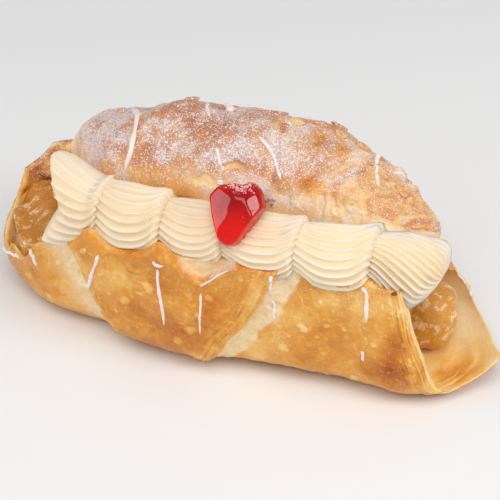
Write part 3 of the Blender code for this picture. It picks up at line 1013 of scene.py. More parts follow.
@dataclass
class CherryFinish(Finish):
    """A wet glazed cherry with a little sugar on its upper edge, and a painted glow: brighter red low down
    and at its rim, darker at its top.
    """

    name: str = "glazed_cherry"
    deep: Colour = srgb(158, 0, 0)
    light: Colour = srgb(218, 18, 6)
    sugar: Colour = srgb(246, 190, 190)
    grains_in_metre: float = 1700.0

    def build(self) -> bpy.types.Material:
        """The material, which reads sugar and the painted glow from the mesh.

        Returns:
            The material.
        """
        tree, where = self.start()
        cloud = tree.between(tree.noise(where, 5.0, 2.0), 0.3, 0.7)
        # Painted glow: the mask brightens the red where light would shine through the cherry.
        share = tree.math("MULTIPLY_ADD", cloud, 0.4, tree.mask("painted_glow"), clamp=True)
        base = tree.mix(share, self.deep, self.light)
        grains = tree.specks(where, self.grains_in_metre, tree.mask("sugar"))
        self.fill({"Base Color": tree.mix(tree.times(grains, 0.85), base, self.sugar),
                   "Roughness": tree.math("MULTIPLY_ADD", grains, 0.4, 0.12), "Specular IOR Level": 0.0,
                   "Coat Weight": 0.8, "Coat Roughness": 0.06})
        self.soften(0.05, (0.006, 0.0008, 0.0005))
        self.roughen(tree.noise(where, 2.4, 2.0), 0.15, 0.0005)
        return self.material


@dataclass
class IcingFinish(Finish):
    """Thin water icing, set and slightly see-through."""

    name: str = "set_icing"
    white: Colour = srgb(248, 236, 232)
    thin: Colour = srgb(242, 222, 212)

    def build(self) -> bpy.types.Material:
        """The material, which reads nothing from the mesh.

        Returns:
            The material.
        """
        tree, where = self.start()
        self.fill({"Base Color": tree.mix(tree.noise(where, 1.2, 2.0), self.thin, self.white),
                   "Roughness": 0.38})
        self.soften(0.2, (0.002, 0.0015, 0.001))
        self.roughen(tree.noise(where, 0.5, 2.0), 0.3, 0.0002)
        return self.material


# -------- the crust


@dataclass
class Trough:
    """The lower half of the pastry, with its folded corner, tear, tongues and layered edges.

    A blister is given by x, s and radius, a peak of the rim by x, width and height, and a browned
    place by x, s, its spread along each, and how much darker it is baked.
    """

    form: TroughForm
    blisters: Spots = (
        (0.6, -1.38, 1.5), (-7.4, -1.12, 2.6), (-1.8, -1.58, 1.9), (8, -1.88, 1.4), (-22, -1.62, 2.6),
        (-12, -0.96, 1.8), (34, -1.01, 1.3), (28, -1.30, 1.8), (35, -1.40, 1.2), (40.6, -1.39, 1.1),
        (43.8, -0.74, 2.2), (62.4, -0.98, 2.2), (27, -1.36, 1.4), (47, -1.6, 1.5), (-62, -0.85, 1.9),
        (-70, -0.95, 2.2), (-57, -1.5, 1.6), (-30, -1.3, 2.4), (21, -1.0, 2.0), (50, -1.3, 1.2),
    )
    rows: tuple[int, ...] = (66, 76, 16, 58)
    columns: tuple[int, ...] = (78, 98, 90, 34)
    through_wall: int = 8
    round_end: int = 12
    seed: int = 20
    rim_peaks: Spots = (
        (-42.5, 4.5, 6.0), (-19.5, 4.0, 4.6), (23.6, 4.0, 2.6), (46.4, 3.0, 1.6),
    )
    browned: Spots = (
        (-15, -1.02, 11, 0.30, 0.10), (4, -1.12, 7, 0.20, 0.08), (4.6, -1.46, 6, 0.15, 0.08),
        (-28, -1.31, 7, 0.25, 0.10), (56, -1.0, 8, 0.16, 0.34), (57, -1.35, 5, 0.25, 0.26),
        (-35, -1.60, 8, 0.22, -0.24), (29, -1.1, 4, 0.2, 0.12), (-66, -1.7, 6, 0.3, 0.16),
        (-76, -0.8, 8, 0.3, 0.14), (14, -1.0, 6, 0.3, -0.12), (40, -1.7, 14, 0.25, -0.12),
    )

    def grid(self) -> tuple[Array, Array, Array, Array]:
        """The mesh's rows and columns.

        Returns:
            s, share through the wall, u and share round the end, each on the whole grid.
        """
        outer = spaced((-2.0, -1.2, -0.3, 0.3, 2.0), self.rows)
        # The lining is less detailed, so it takes every third row, on the way back.
        inner = outer[::-3]
        across = np.linspace(0.0, 1.0, self.through_wall + 2)[1:-1]
        rim = 0 * across + 2.0
        s = np.concatenate([outer, rim, inner, -rim, [-2.0]])
        t = np.concatenate([0 * outer, across, 0 * inner + 1.0, across[::-1], [0.0]])
        ends = np.linspace(1.0, 0.0, self.round_end + 1)[:-1]
        middle = spaced((0.0, 1.0, 2.0, 2.8, 3.0), self.columns)
        u = np.concatenate([0 * ends, middle, 0 * ends + 3.0])
        e = np.concatenate([ends, 0 * middle, ends[::-1]])
        s, u = np.meshgrid(s, u, indexing="ij")
        t, e = np.meshgrid(t, e, indexing="ij")
        return s, t, u, e

    def blister_field(self, points: Array) -> Array:
        """How far each blister stands out, from 0 to 1 at its middle.

        Args:
            points: places in millimetres.

        Returns:
            One number for each place.
        """
        dice = np.random.default_rng(self.seed)
        small_in_front = (70, (-74, 64), (-1.9, -0.75), (0.4, 1.1))
        all_behind = (40, (-78, 58), (0.8, 1.8), (0.8, 2.4))
        more = [tuple(dice.uniform(*ends) for ends in spans)
                for count, *spans in (small_in_front, all_behind) for _ in range(count)]
        bent = points + 1.1 * np.stack([Noise(3.0, seed, 2).at(points) for seed in (21, 22, 23)], -1)
        field = np.zeros(points.shape[:-1])
        for x, s, radius in (*self.blisters, *more):
            at = self.form.outer(np.array(s), self.form.u_of(np.array(s), np.array(float(x))))
            far = np.linalg.norm(bent - at, axis=-1) / radius
            field = np.maximum(field, np.clip(1.0 - far**2, 0.0, 1.0) ** 0.7)
        return field

    def films(self, points: Array) -> tuple[Array, Array]:
        """The thin skins that overlap on the crust: each place's own skin, and the skins' edges.

        Args:
            points: places in millimetres.

        Returns:
            The number of its own skin and how near its edge is, both from 0 to 1.
        """
        drift = 1.4 * (2.4 * Noise(13.0, 24, 2).at(points) + 0.9 * Noise(3.5, 25, 2).at(points))
        level = np.floor(drift)
        own = 0.5 + 0.5 * np.sin(level * 2.4 + 0.7)
        near = np.abs(drift - level - 0.5)
        return own, smooth(0.40, 0.49, near)

    def streaks(self, points: Array, s: Array) -> tuple[Array, Array]:
        """Lines of lamination beside the folded corner's edges and the right end.

        Args:
            points: places on the outer face.
            s: their places round the section.

        Returns:
            The lines, from -1 to 1, and how strongly they show.
        """
        x, z = points[..., 0], points[..., 2]
        left, right = self.form.flap_edges(s)
        end = through(self.form.right_end, s)
        front = self.form.front(s)
        near_right = smooth(-0.6, 0.4, right - x) * smooth(12.0, 3.0, right - x)
        near_left = smooth(-0.6, 0.4, x - left) * smooth(6.0, 2.5, x - left)
        near_end = smooth(4.5, 2.0, end - x) * smooth(-0.2, -0.7, s)
        across = np.where(x > 30, end - x, np.where(x > (left + right) / 2, right - x, x - left))
        lines = Noise(1.0, 26, 3).at(np.stack([across / 0.6, z / 9.0, 0 * z], -1))
        return 1.6 * lines, np.maximum(np.maximum(near_right, near_left) * front, near_end)

    def crust_lift(self, points: Array, s: Array) -> Array:
        """Small relief of the outer face: puckers, blisters, skins and lines of lamination.

        Args:
            points: places in millimetres.
            s: places round the section.

        Returns:
            The distance out of the face.
        """
        x = points[..., 0]
        left, right = self.form.flap_edges(s)
        front = self.form.front(s)
        lift = 0.55 * Noise(10.0, 31).at(points) + 0.14 * Noise(2.2, 32).at(points)
        lift = lift + 0.42 * self.blister_field(points)
        own, edge = self.films(points)
        lift = lift + 0.28 * own + 0.12 * edge
        lines, strength = self.streaks(points, s)
        lift = lift + 0.30 * lines * strength
        lift = lift + 0.7 * front * bump(x - left, 1.6, 1.3) + 0.35 * front * bump(right - x, 1.2, 1.0)
        collar = bump(self.form.inside_tear(points), -1.6, 1.2) * bump(x, self.form.tear.centre, 11.0)
        lift = lift + 0.9 * collar * (s < -1.4)
        beside = smooth(0.0, 1.0, x - right) * smooth(8.5, 6.0, x - right)
        beside = np.maximum(beside, smooth(0.0, -1.0, x - left) * smooth(-7.5, -5.0, x - left))
        crumpled = 0.55 * Noise(2.4, 37, 3).at(points) + 0.25 * Noise(0.9, 38, 1).at(points)
        return lift + front * beside * crumpled

    def skin(self, s: Array, u: Array) -> Array:
        """The outer face with all its relief.

        Args:
            s: places round the section.
            u: places along the pastry.

        Returns:
            The places.
        """
        outer = self.form.outer(s, u)
        lift = self.crust_lift(outer, s) * smooth(0.15, 0.45, np.abs(s))
        return outer + surface_normals(self.form.plain, s, u) * lift[..., None]

    def lining(self, s: Array, u: Array) -> Array:
        """The inner face with its relief: flaky at the back left, blistered on the right tongue.

        Args:
            s: places round the section.
            u: places along the pastry.

        Returns:
            The places.
        """
        plain = self.form.inner(s, u)
        x, y = plain[..., 0], plain[..., 1]
        tip = smooth(2.70, 3.0, u) * smooth(-0.75, -0.35, s)
        flaky = smooth(-62.0, -74.0, x) * smooth(0.7, 1.1, s)
        tongue = smooth(58.0, 72.0, x) * smooth(9.0, -4.0, y)
        near, _, _ = Cells(4.2, 46).at(plain)
        lift = 2.5 * tip + 0.5 * Noise(8.0, 41).at(plain) + 1.1 * tongue * smooth(0.5, 0.15, near)
        lift = lift + (0.2 + 0.9 * flaky + 0.5 * tongue) * Noise(2.4, 42, 3).at(plain)
        return plain + surface_normals(self.form.plain, s, u) * lift[..., None]

    def rim(self, points: Array, s: Array) -> Array:
        """How far the rim stands up: more between the shells of cream than behind them.

        Args:
            points: places in millimetres.
            s: places round the section.

        Returns:
            The height of the rim above the wall.
        """
        ragged = 0.8 + 0.5 * Noise(5.0, 43, 3).at(points)
        between = sum(height * bump(points[..., 0], x, width) for x, width, height in self.rim_peaks)
        return np.where(s < 0, ragged + between - 0.4, ragged)

    @staticmethod
    def end_layers(points: Array, s: Array, u: Array, e: Array) -> tuple[Array, Array]:
        """The layers of dough that show in the cut right end.

        Args:
            points: the places.
            s: their places round the section.
            u: their places along the trough.
            e: how far round the end they are.

        Returns:
            1 where layers show and 0 elsewhere, and the lines between them.
        """
        lines = np.abs(np.sin(e * math.pi * 3.0 + 0.9 * Noise(6.0, 44, 2).at(points)))
        return smooth(-0.35, -0.8, s) * (u > 1.5), lines

    def build(self) -> Piece:
        """Models the trough as one closed wall and keeps its masks on the mesh.

        Returns:
            The finished mesh.
        """
        s, t, u, e = self.grid()
        form = self.form
        outer = self.skin(s, u)
        inner = self.lining(s, u)
        points = lerp(outer, inner, t[..., None])
        up_wall = unit(form.plain(s, u) - form.plain(s * 0.99, u))
        at_rim = (np.abs(s) > 1.999) * np.sin(t * math.pi)
        points = points + up_wall * (at_rim * self.rim(points, s))[..., None]
        side = np.where(u < 1.5, -1.0, 1.0)
        tangent = unit(form.plain(s, np.abs(u)) - form.plain(s, np.abs(u) - 0.01 * side))
        middle = (outer + inner) / 2
        turn = e * math.pi / 2
        layered, rings = self.end_layers(points, s, u, e)
        rough = 0.5 * Noise(3.0, 45, 3).at(points)
        out = (1.3 * np.sin(turn) + (0.7 * rings * layered + rough) * np.sin(2 * turn)) * (e > 0)
        points = middle + (points - middle) * np.cos(turn)[..., None] + tangent * out[..., None]
        points[..., 2] = np.maximum(points[..., 2], 0.0)
        return Bench.finish([Bench.sheet("trough", points, self.masks(points, s, t, u, e))], "trough_crust")

    def masks(self, points: Array, s: Array, t: Array, u: Array, e: Array) -> dict[str, Array]:
        """What the crust's material reads: how browned, pale, sugared and shiny each place is.

        Args:
            points: places in millimetres.
            s: places round the section.
            t: how far through the wall each place is.
            u: places along the pastry.
            e: how far round the end each place is.

        Returns:
            One set of numbers for each name.
        """
        x, y = points[..., 0], points[..., 1]
        left, right = self.form.flap_edges(s)
        front = self.form.front(s)
        inner = smooth(0.35, 0.8, t)
        on_flap = smooth(-0.5, 0.8, x - left) * smooth(-0.5, 0.8, right - x) * front
        patch = Noise(13.0, 51).at(points)
        small = Noise(4.0, 52).at(points)
        bake = 0.50 + 0.16 * patch + 0.13 * small + 0.08 * on_flap
        for spot_x, spot_s, wide, far, heat in self.browned:
            bake = bake + heat * bump(x, spot_x, wide) * bump(s, spot_s, far) * front
        own, edge = self.films(points)
        bake = bake + 0.07 * (own - 0.5) - 0.34 * np.clip(own - 0.66, 0.0, 1.0) - 0.12 * edge
        blister = self.blister_field(points)
        bake = bake - 0.20 * smooth(0.25, 0.75, blister) + 0.10 * bump(blister, 0.10, 0.08)
        lines, strength = self.streaks(points, s)
        bake = bake - 0.08 * strength - 0.16 * lines * strength
        strip_right = smooth(-0.3, 0.3, x - right) * smooth(7.8, 5.6, x - right + 2.2 * small)
        strip_left = smooth(0.3, -0.3, x - left) * smooth(-15.0, -3.0, x - left + 2.0 * small)
        pale = front * (0.9 * strip_right + strip_left) * (1 - inner)
        torn = self.form.torn(points, s) / self.form.tear.layer * (1 - inner)
        # The tongue's inner face is pale dough, lightened further towards its top as painted light where it
        # faces away from the lamps.
        tongue = inner * smooth(54.0, 70.0, x) * (0.04 + 0.70 * smooth(0.3, 0.9, s))
        pale = np.maximum(np.maximum(pale, 0.8 * torn), tongue)
        bake = lerp(bake, 0.08 + 0.16 * patch + 0.16 * small, inner)
        brown_tip = bump(x, 74.0, 9.0) * bump(y, -9.0, 9.0) * smooth(-0.35, 0.3, Noise(3.0, 53).at(points))
        bake = bake + inner * 0.46 * brown_tip
        left_back = smooth(-66.0, -76.0, x) * smooth(0.7, 1.2, s)
        bake = bake + 0.55 * left_back * smooth(-0.4, 0.3, Noise(3.0, 54).at(points))
        bake = bake + 0.16 * inner * smooth(-64.0, -76.0, x)
        bake = bake + 0.42 * inner * bump(x, -84.0, 4.0) * bump(s, 0.62, 0.2)
        # Painted shade: a short dark slit on the back-left inner wall stands in for the shadow in a small
        # hole.
        bake = bake + 0.7 * inner * bump(x, -79.0, 1.6) * bump(s, 1.22, 0.04)
        # On the tongue's inner face: browner low down, and lighter higher up as painted light.
        bake = bake + inner * smooth(60.0, 70.0, x) * (0.14 * smooth(0.5, 0.1, s) - 0.08)
        layered, rings = self.end_layers(points, s, u, e)
        bake = bake + (e > 0.02) * (layered * (0.16 - 0.34 * rings) - 0.12 * (1 - layered))
        bake = bake + 0.12 * smooth(0.6, 0.3, np.abs(s)) * (1 - inner)
        # A thin scatter of white specks lies all over the lower half: partly sugar dust, partly painted
        # glints.
        sugar = 0.02 + 0.14 * smooth(1.2, 1.8, s) + 0.07 * smooth(-1.6, -1.9, s) * smooth(-10.0, 25.0, x)
        sugar = sugar + 0.10 * bump(x, -80.0, 8.0) + 0.12 * left_back
        edge_of_tear = bump(self.form.inside_tear(points), -0.25, 0.45) * (s < -1.4) * (1 - inner)
        sugar = sugar + 0.65 * edge_of_tear * smooth(-5.0, -1.0, x) * smooth(9.0, 3.0, x)
        shine = lerp(0.9, 0.35, inner) * (1 - 0.8 * np.clip(pale, 0, 1))
        return {"bake": bake, "pale": np.clip(pale, 0, 1), "sugar": np.clip(sugar, 0, 1), "shine": shine}


@dataclass
class Lid:
    """The domed top of the pastry, with its folds, its split and its sugared skin.

    A fold is a line of (degrees, x) over the top, and its height. The split is an arch with a flat
    sill, and a notch lies to its left. Both are placed by x and z.
    """

    form: TopForm
    folds: tuple[tuple[Stations, float], ...] = (
        (((0, 6), (130, 9), (143, 10), (163, 8), (180, 7)), 0.4),
        (((0, 40), (79, 35), (116, 30), (135, 26), (163, 26), (180, 27)), 0.9),
        (((0, 44), (79, 40), (91, 36), (114, 32), (139, 28), (180, 34)), 0.7),
        (((0, 50), (79, 47), (111, 43), (135, 39), (160, 41), (180, 44)), 0.7),
        (((0, 57), (91, 56), (120, 52), (180, 51)), 0.5),
    )
    arch_top: tuple[float, float] = (-3.4, 66.7)
    arch_pitch: float = 0.24
    arch_middle: float = -2.3
    arch_half: float = 3.5
    arch_sill: float = 64.5
    notch_centre: tuple[float, float] = (-9.6, 61.6)
    notch_radii: tuple[float, float] = (4.4, 2.2)

    def grid(self) -> tuple[Array, Array]:
        """Angle and u on the whole grid.

        Returns:
            Both on the whole grid.
        """
        angle = spaced((-0.45 * math.pi, 0.0, math.pi, 1.08 * math.pi, 1.55 * math.pi), (20, 215, 18, 12))
        across = spaced((0.0, 0.05, 1.0, 1.95, 2.0), (10, 196, 110, 10))
        return np.meshgrid(angle, across, indexing="ij")

    def past_folds(self, points: Array, angle: Array) -> list[tuple[Array, float]]:
        """How far past each fold's wandering line every place is, with that fold's height.

        Args:
            points: places in millimetres.
            angle: places over the top, in radians.

        Returns:
            The distances and the height of each fold.
        """
        degrees, wander = np.degrees(np.clip(angle, 0.0, math.pi)), Noise(6.0, 61, 2).at(points)
        return [(points[..., 0] - through(line, degrees) + wander, height) for line, height in self.folds]

    def fold_lift(self, points: Array, angle: Array) -> Array:
        """Relief of the folds: a swell that ends in a ledge and a crease.

        Args:
            points: places in millimetres.
            angle: places over the top, in radians.

        Returns:
            The distance out of the skin.
        """
        upper = smooth(0.1, 0.4, np.sin(angle))
        lift = 0.0
        for past, height in self.past_folds(points, angle):
            lift = lift + height * (0.8 * bump(past, -1.5, 1.9) - 0.8 * bump(past, 0.4, 0.6))
        return upper * lift

    def flakes(self, points: Array, angle: Array) -> tuple[Array, Array]:
        """Flaky layers of the folded right part: their heights, and how strongly they show.

        Args:
            points: places in millimetres.
            angle: places over the top, in radians.

        Returns:
            Both at each place.
        """
        degrees = np.degrees(np.clip(angle, 0.0, math.pi))
        past = points[..., 0] - through(self.folds[1][0], degrees)
        along = degrees * 0.38
        layers = Noise(1.0, 62, 3).at(np.stack([past / 1.6, along / 4.5, 0 * past], -1)) * 2.0
        layers = layers + 0.8 * Noise(1.8, 68, 3).at(points)
        steps = np.floor(layers * 2.0)
        height = (steps + smooth(0.3, 0.7, layers * 2.0 - steps)) / 2.0
        return height, 0.32 + 0.68 * smooth(-6.0, 3.0, past)

    def split(self, points: Array) -> tuple[Array, Array]:
        """The little arched split in the skin and the unsugared notch at its left.

        Args:
            points: places on the skin.

        Returns:
            1 inside the split and 0 outside, and the same for the notch.
        """
        x, z = points[..., 0], points[..., 2]
        wobble = 0.5 * Noise(2.0, 63, 2).at(points)
        roof = self.arch_top[1] - self.arch_pitch * np.abs(x - self.arch_top[0]) - z + wobble
        arch = smooth(-0.2, 0.2, roof) * smooth(self.arch_sill, self.arch_sill + 0.5, z + 0.5 * wobble)
        arch = arch * smooth(self.arch_half + 1.5, self.arch_half, np.abs(x - self.arch_middle))
        arch = arch * smooth(-6.0, 6.0, -points[..., 1])
        from_notch = [(a - b) / c for a, b, c in zip((x, z), self.notch_centre, self.notch_radii)]
        notch = np.hypot(*from_notch) + 0.9 * Noise(2.6, 64, 3).at(points)
        return arch, smooth(1.2, 0.6, notch) * (points[..., 1] < 0)

    def skin(self, angle: Array, u: Array) -> Array:
        """The top's skin with all its relief.

        Args:
            angle: places over the top, in radians.
            u: places along the pastry.

        Returns:
            The places.
        """
        points = self.form.outer(angle, np.clip(u, 0.002, 1.998))
        normal = surface_normals(self.form.plain, angle, np.clip(u, 0.002, 1.998))
        lift = 0.85 * Noise(11.0, 64).at(points) + 0.42 * Noise(3.2, 65).at(points)
        near, _, _ = Cells(6.0, 66).at(points)
        lift = lift + 0.35 * smooth(0.55, 0.1, near) * smooth(-0.2, 0.5, Noise(20.0, 67, 1).at(points))
        lift = lift + self.fold_lift(points, angle)
        layers, strength = self.flakes(points, angle)
        upper = smooth(0.0, 0.3, np.sin(angle))
        lift = lift + 0.40 * layers * strength * upper
        split, notch = self.split(points)
        lip = bump(split, 0.35, 0.22) * (split > 0.01)
        lift = lift - 1.6 * split - 0.6 * notch + 0.5 * lip
        return points + normal * lift[..., None]

    def build(self) -> Piece:
        """Models the top as one closed skin and keeps its masks on the mesh.

        Returns:
            The finished mesh.
        """
        angle, u = self.grid()
        points = self.skin(angle, u)
        split, notch = self.split(self.form.outer(angle, np.clip(u, 0.002, 1.998)))
        hem = bump(angle, math.pi * 1.02, 0.10)
        points[..., 2] = points[..., 2] - hem * (0.8 + 1.3 * Noise(7.0, 69, 3).at(points))
        size = np.sqrt(np.clip(np.minimum(u / 0.10, (2.0 - u) / 0.16), 0.0, 1.0))
        size = np.sin(size * math.pi / 2)
        core = points.mean(axis=0, keepdims=True)
        points = core + (points - core) * size[..., None]
        masks = self.masks(points, angle, u, split, notch)
        return Bench.finish([Bench.sheet("lid", points, masks)], "lid_crust")

    def masks(self, points: Array, angle: Array, u: Array, split: Array, notch: Array) -> dict[str, Array]:
        """What the crust's material reads.

        Args:
            points: places in millimetres.
            angle: places over the top, in radians.
            u: places along the pastry.
            split: 1 inside the split and 0 outside.
            notch: 1 inside the notch and 0 outside.

        Returns:
            One set of numbers for each name.
        """
        x, y, z = points[..., 0], points[..., 1], points[..., 2]
        patch = Noise(12.0, 71).at(points)
        small = Noise(3.5, 72).at(points)
        bake = 0.76 + 0.22 * patch + 0.14 * small - 0.26 * smooth(16.0, 34.0, x)
        bake = bake - 0.24 * smooth(math.pi * 0.78, math.pi * 0.92, angle)
        for past, _ in self.past_folds(points, angle):
            bake = bake + 0.18 * bump(past, 0.5, 0.9) - 0.14 * bump(past, -1.6, 1.5)
        layers, strength = self.flakes(points, angle)
        bake = bake - 0.13 * layers * strength
        end = smooth(0.13, 0.04, u) * smooth(0.35 * math.pi, 0.55 * math.pi, angle)
        hem = smooth(math.pi * 0.80, math.pi * 0.92, angle) * smooth(-22.0, -8.0, x)
        pale = np.maximum(np.maximum(0.9 * end, 0.4 * notch), np.maximum(0.42 * hem, 0.5 * split))
        bake = lerp(bake, 0.15, notch) - 0.22 * split
        heavy = smooth(36.0, 4.0, x) * smooth(math.pi * 1.03, math.pi * 0.90, angle)
        drift = 0.5 + 0.5 * Noise(14.0, 73, 2).at(points) + 0.55 * Noise(4.5, 74, 2).at(points)
        drift = np.clip(drift, 0.0, 1.2)
        far = smooth(20.0, 34.0, x) * (0.34 + 0.85 * smooth(0.3, 0.95, drift))
        sugar = heavy * (0.34 + 0.95 * smooth(0.2, 1.0, drift)) + far
        sugar = sugar + 0.15 * bump(x, -60.0, 12.0) + 0.6 * bump(x, -2.0, 8.0) * bump(z, 68.6, 2.4) * (y < 10)
        sugar = sugar * (1 - 0.9 * split) * (1 - 0.8 * notch) * (1 - 0.5 * end)
        sugar = sugar * smooth(-0.35 * math.pi, 0.1 * math.pi, angle)
        shine = 0.55 - 0.3 * np.clip(sugar, 0, 1)
        return {"bake": bake, "pale": np.clip(pale, 0, 1), "sugar": np.clip(sugar, 0, 1), "shine": shine}


# -------- cream, fruit, cherry and icing


@dataclass
class PipedCream:
    """Six star-piped shells in a row, with the cream behind them.

    The first shell is drawn up to a peak and down to a lobe at its left, and the last is twisted to
    a blunt end. Depths, rises and overlaps are shares of a shell's radius or length.
    """

    form: TroughForm
    ends: tuple[float, ...] = (-56.5, -42.6, -20.5, 0.6, 23.6, 46.4, 65.0)
    steps: tuple[int, ...] = (11, 38, 20)
    teeth: int = 23
    extra_teeth: tuple[int, int] = (4, 10)
    steps_in_tooth: int = 9
    depth: float = 0.071
    overlap: tuple[float, float] = (0.22, 0.03)
    peak_turn: float = 95.0
    peak_rise: float = 0.52
    peak_reach: float = 8.5
    lobe_turn: float = 1.14 * math.pi
    lobe_rise: float = 0.20
    lobe_reach: float = 7.5
    roughest: int = 2
    radius: Stations = ((-68, 13), (-50, 12), (-30, 10.6), (0, 9.8), (34, 9.8), (46, 10.5), (60, 11.6))
    centre_y: Stations = ((-68, -6), (-50, -12.6), (-20, -17.6), (10, -17.6), (34, -16), (56, -9.4), (68, -5))
    centre_z: Stations = ((-68, 37.5), (-45, 42), (-20, 45.5), (10, 47), (34, 46.5), (54, 43.5), (66, 38.5))
    bed_ends: tuple[float, float] = (-68.0, 62.0)
    bed_back: float = 34.0
    bed_height: tuple[float, float] = (33.0, 16.5)

    @staticmethod
    def ridges(index: int, teeth: int, tau: Array, around: Array) -> Array:
        """How near each place is to the crest of a ridge: 1 on it, 0 in the fold between two.

        Args:
            index: which shell.
            teeth: how many ridges run round it.
            tau: how far along the shell each place is, from 0 to 1.
            around: how far round it each place is, in radians.

        Returns:
            One number for each place.
        """
        ring = np.stack(np.broadcast_arrays(3 * np.cos(around), 3 * np.sin(around), 2.4 * tau), -1)
        phase = teeth * around / 2 + 0.55 * Noise(1.6, 80 + index, 2).at(ring)
        phase = phase + 0.25 * np.sin(2 * phase)
        return 1.0 - np.abs(np.sin(phase)) ** 0.75

    def shell(self, index: int) -> Piece:
        """One shell: a pinched tail at its left swells into a blunt head.

        Args:
            index: which shell, from the left.

        Returns:
            The open shell.
        """
        first, last = index == 0, index == len(self.ends) - 2
        left, right = self.ends[index], self.ends[index + 1]
        length = right - left
        tau = spaced((0.0, 0.12, 0.82, 1.0), self.steps)[:, None]
        teeth = self.teeth + self.extra_teeth[0] * first + self.extra_teeth[1] * last
        around = np.linspace(0.0, 2 * math.pi, teeth * self.steps_in_tooth + 1)[None, :]
        crest = self.ridges(index, teeth, tau, around)
        # The ridges sag in the middle of a shell, and those of the last one wind round it.
        sag = (0.16 if first else 0.34) * np.sin(math.pi * tau) ** 0.9 - 0.16 * smooth(0.8, 1.0, tau)
        theta = around + (0.95 * tau**1.2 - 0.25 if last else sag)
        start = left - (0.0 if first else self.overlap[0] * length)
        x = lerp(start, right + self.overlap[1] * length, tau) + 0.0 * around
        # The head closes at the right in claws, and the tail comes out of the shell before.
        closing = 0.70 if last else 0.90
        claw = (0.09 if last else 0.035) * crest
        close = np.clip((tau - closing - claw) / (1.0 - closing - claw), 0.0, 1.0)
        head = np.sqrt(1.0 - close**2)
        tail = lerp(0.72, 1.0, smooth(0.0, 0.55, tau))
        if first:
            tail = np.sqrt(1.0 - np.clip((0.09 - tau) / 0.09, 0.0, 1.0) ** 2)
        radius = through(self.radius, x) * (1.0 + 0.04 * math.sin(2.1 * index))
        depth = self.depth * (1.0 + 0.3 * np.sin(3.0 * around + index)) * (1.5 if last else 1.0)
        if first:
            # The front of the first shell is combed less than its top.
            past_top = theta + 0.25 * smooth(0.5, 1.0, tau)
            combed = 0.25 + 0.75 * smooth(0.42 * math.pi, 0.66 * math.pi, past_top)
            depth, crest = depth * combed, lerp(0.6, crest, combed)
        spoke = radius * tail * head * (1.0 + depth * (2.0 * crest - 1.0))
        if first:
            upward = np.clip(np.cos(theta - math.radians(self.peak_turn)), 0.0, 1.0) ** 5
            spoke = spoke * (1.0 + self.peak_rise * smooth(0.7, 0.1, tau) * upward)
            lobe = bump(theta, self.lobe_turn, 0.50)
            spoke = spoke * (1.0 + self.lobe_rise * bump(tau, 0.15, 0.25) * lobe)
            spread = self.peak_reach * upward + self.lobe_reach * lobe + 0.6 * np.sin(9.0 * theta)
            x = x - lerp(5.0, spread, tail) * smooth(0.6, 0.0, tau)
        rise = 0.7 * radius * (1.0 - tail) * (not first) + 1.2 * smooth(0.7, 1.0, tau)
        tilt = np.radians(lerp(-4.0, -26.0, tau)) if last else 0.0 * tau
        up = spoke * np.sin(theta)
        core_y, core_z = through(self.centre_y, x), through(self.centre_z, x) + rise
        points = np.stack([
            x - up * np.sin(tilt),
            core_y + 1.08 * spoke * np.cos(theta),
            core_z + up * np.cos(tilt),
        ], -1)
        # One shell is rougher than the others below, where the nozzle dragged.
        away = unit(points - np.stack(np.broadcast_arrays(x, core_y, core_z), -1))
        coarse = 2.2 if index == self.roughest else 1.0
        low = 1.0 + (coarse - 1.0) * smooth(1.05 * math.pi, 1.3 * math.pi, theta)
        rough = 0.16 * Noise(3.5, 81 + index).at(points) + 0.07 * low * Noise(0.9, 82, 2).at(points)
        pits = smooth(0.66 - 0.12 * (low - 1.0), 0.80, Noise(1.5, 83, 2).at(points))
        points = points + away * (rough - 0.45 * pits)[..., None] * head[..., None]
        points[:, -1] = points[:, 0]
        # The crest mask also paints shade on the cream: paler on the crests, yellower in the folds.
        return Bench.sheet(f"shell_{index}", points, {"crest": crest})

    def bed(self) -> Piece:
        """The cream behind the row, back to the hinge.

        Returns:
            The open bed.
        """
        x = np.linspace(*self.bed_ends, 60)[:, None]
        angle = np.linspace(0.0, 2 * math.pi, 81)[None, :]
        size = np.sin(np.linspace(0.0, math.pi, 60))[:, None] ** 0.3
        across, along = np.cos(angle), np.sin(angle)
        front = 1.6 - through(self.form.front_rim_y, x)
        wide = (self.bed_back - front) / 2
        y = front + wide + wide * size * np.sign(across) * np.abs(across) ** 0.6
        z = self.bed_height[0] + self.bed_height[1] * size * np.sign(along) * np.abs(along) ** 0.7
        points = np.stack([np.broadcast_to(x, y.shape), y, z], -1)
        points[:, -1] = points[:, 0]
        return Bench.sheet("cream_bed", points, {"crest": np.full(y.shape, 0.3)})

    def build(self) -> Piece:
        """Models all the cream as one piece.

        Returns:
            The finished mesh.
        """
        parts = [self.shell(index) for index in range(len(self.ends) - 1)]
        return Bench.finish([*parts, self.bed()], "cream_shells")


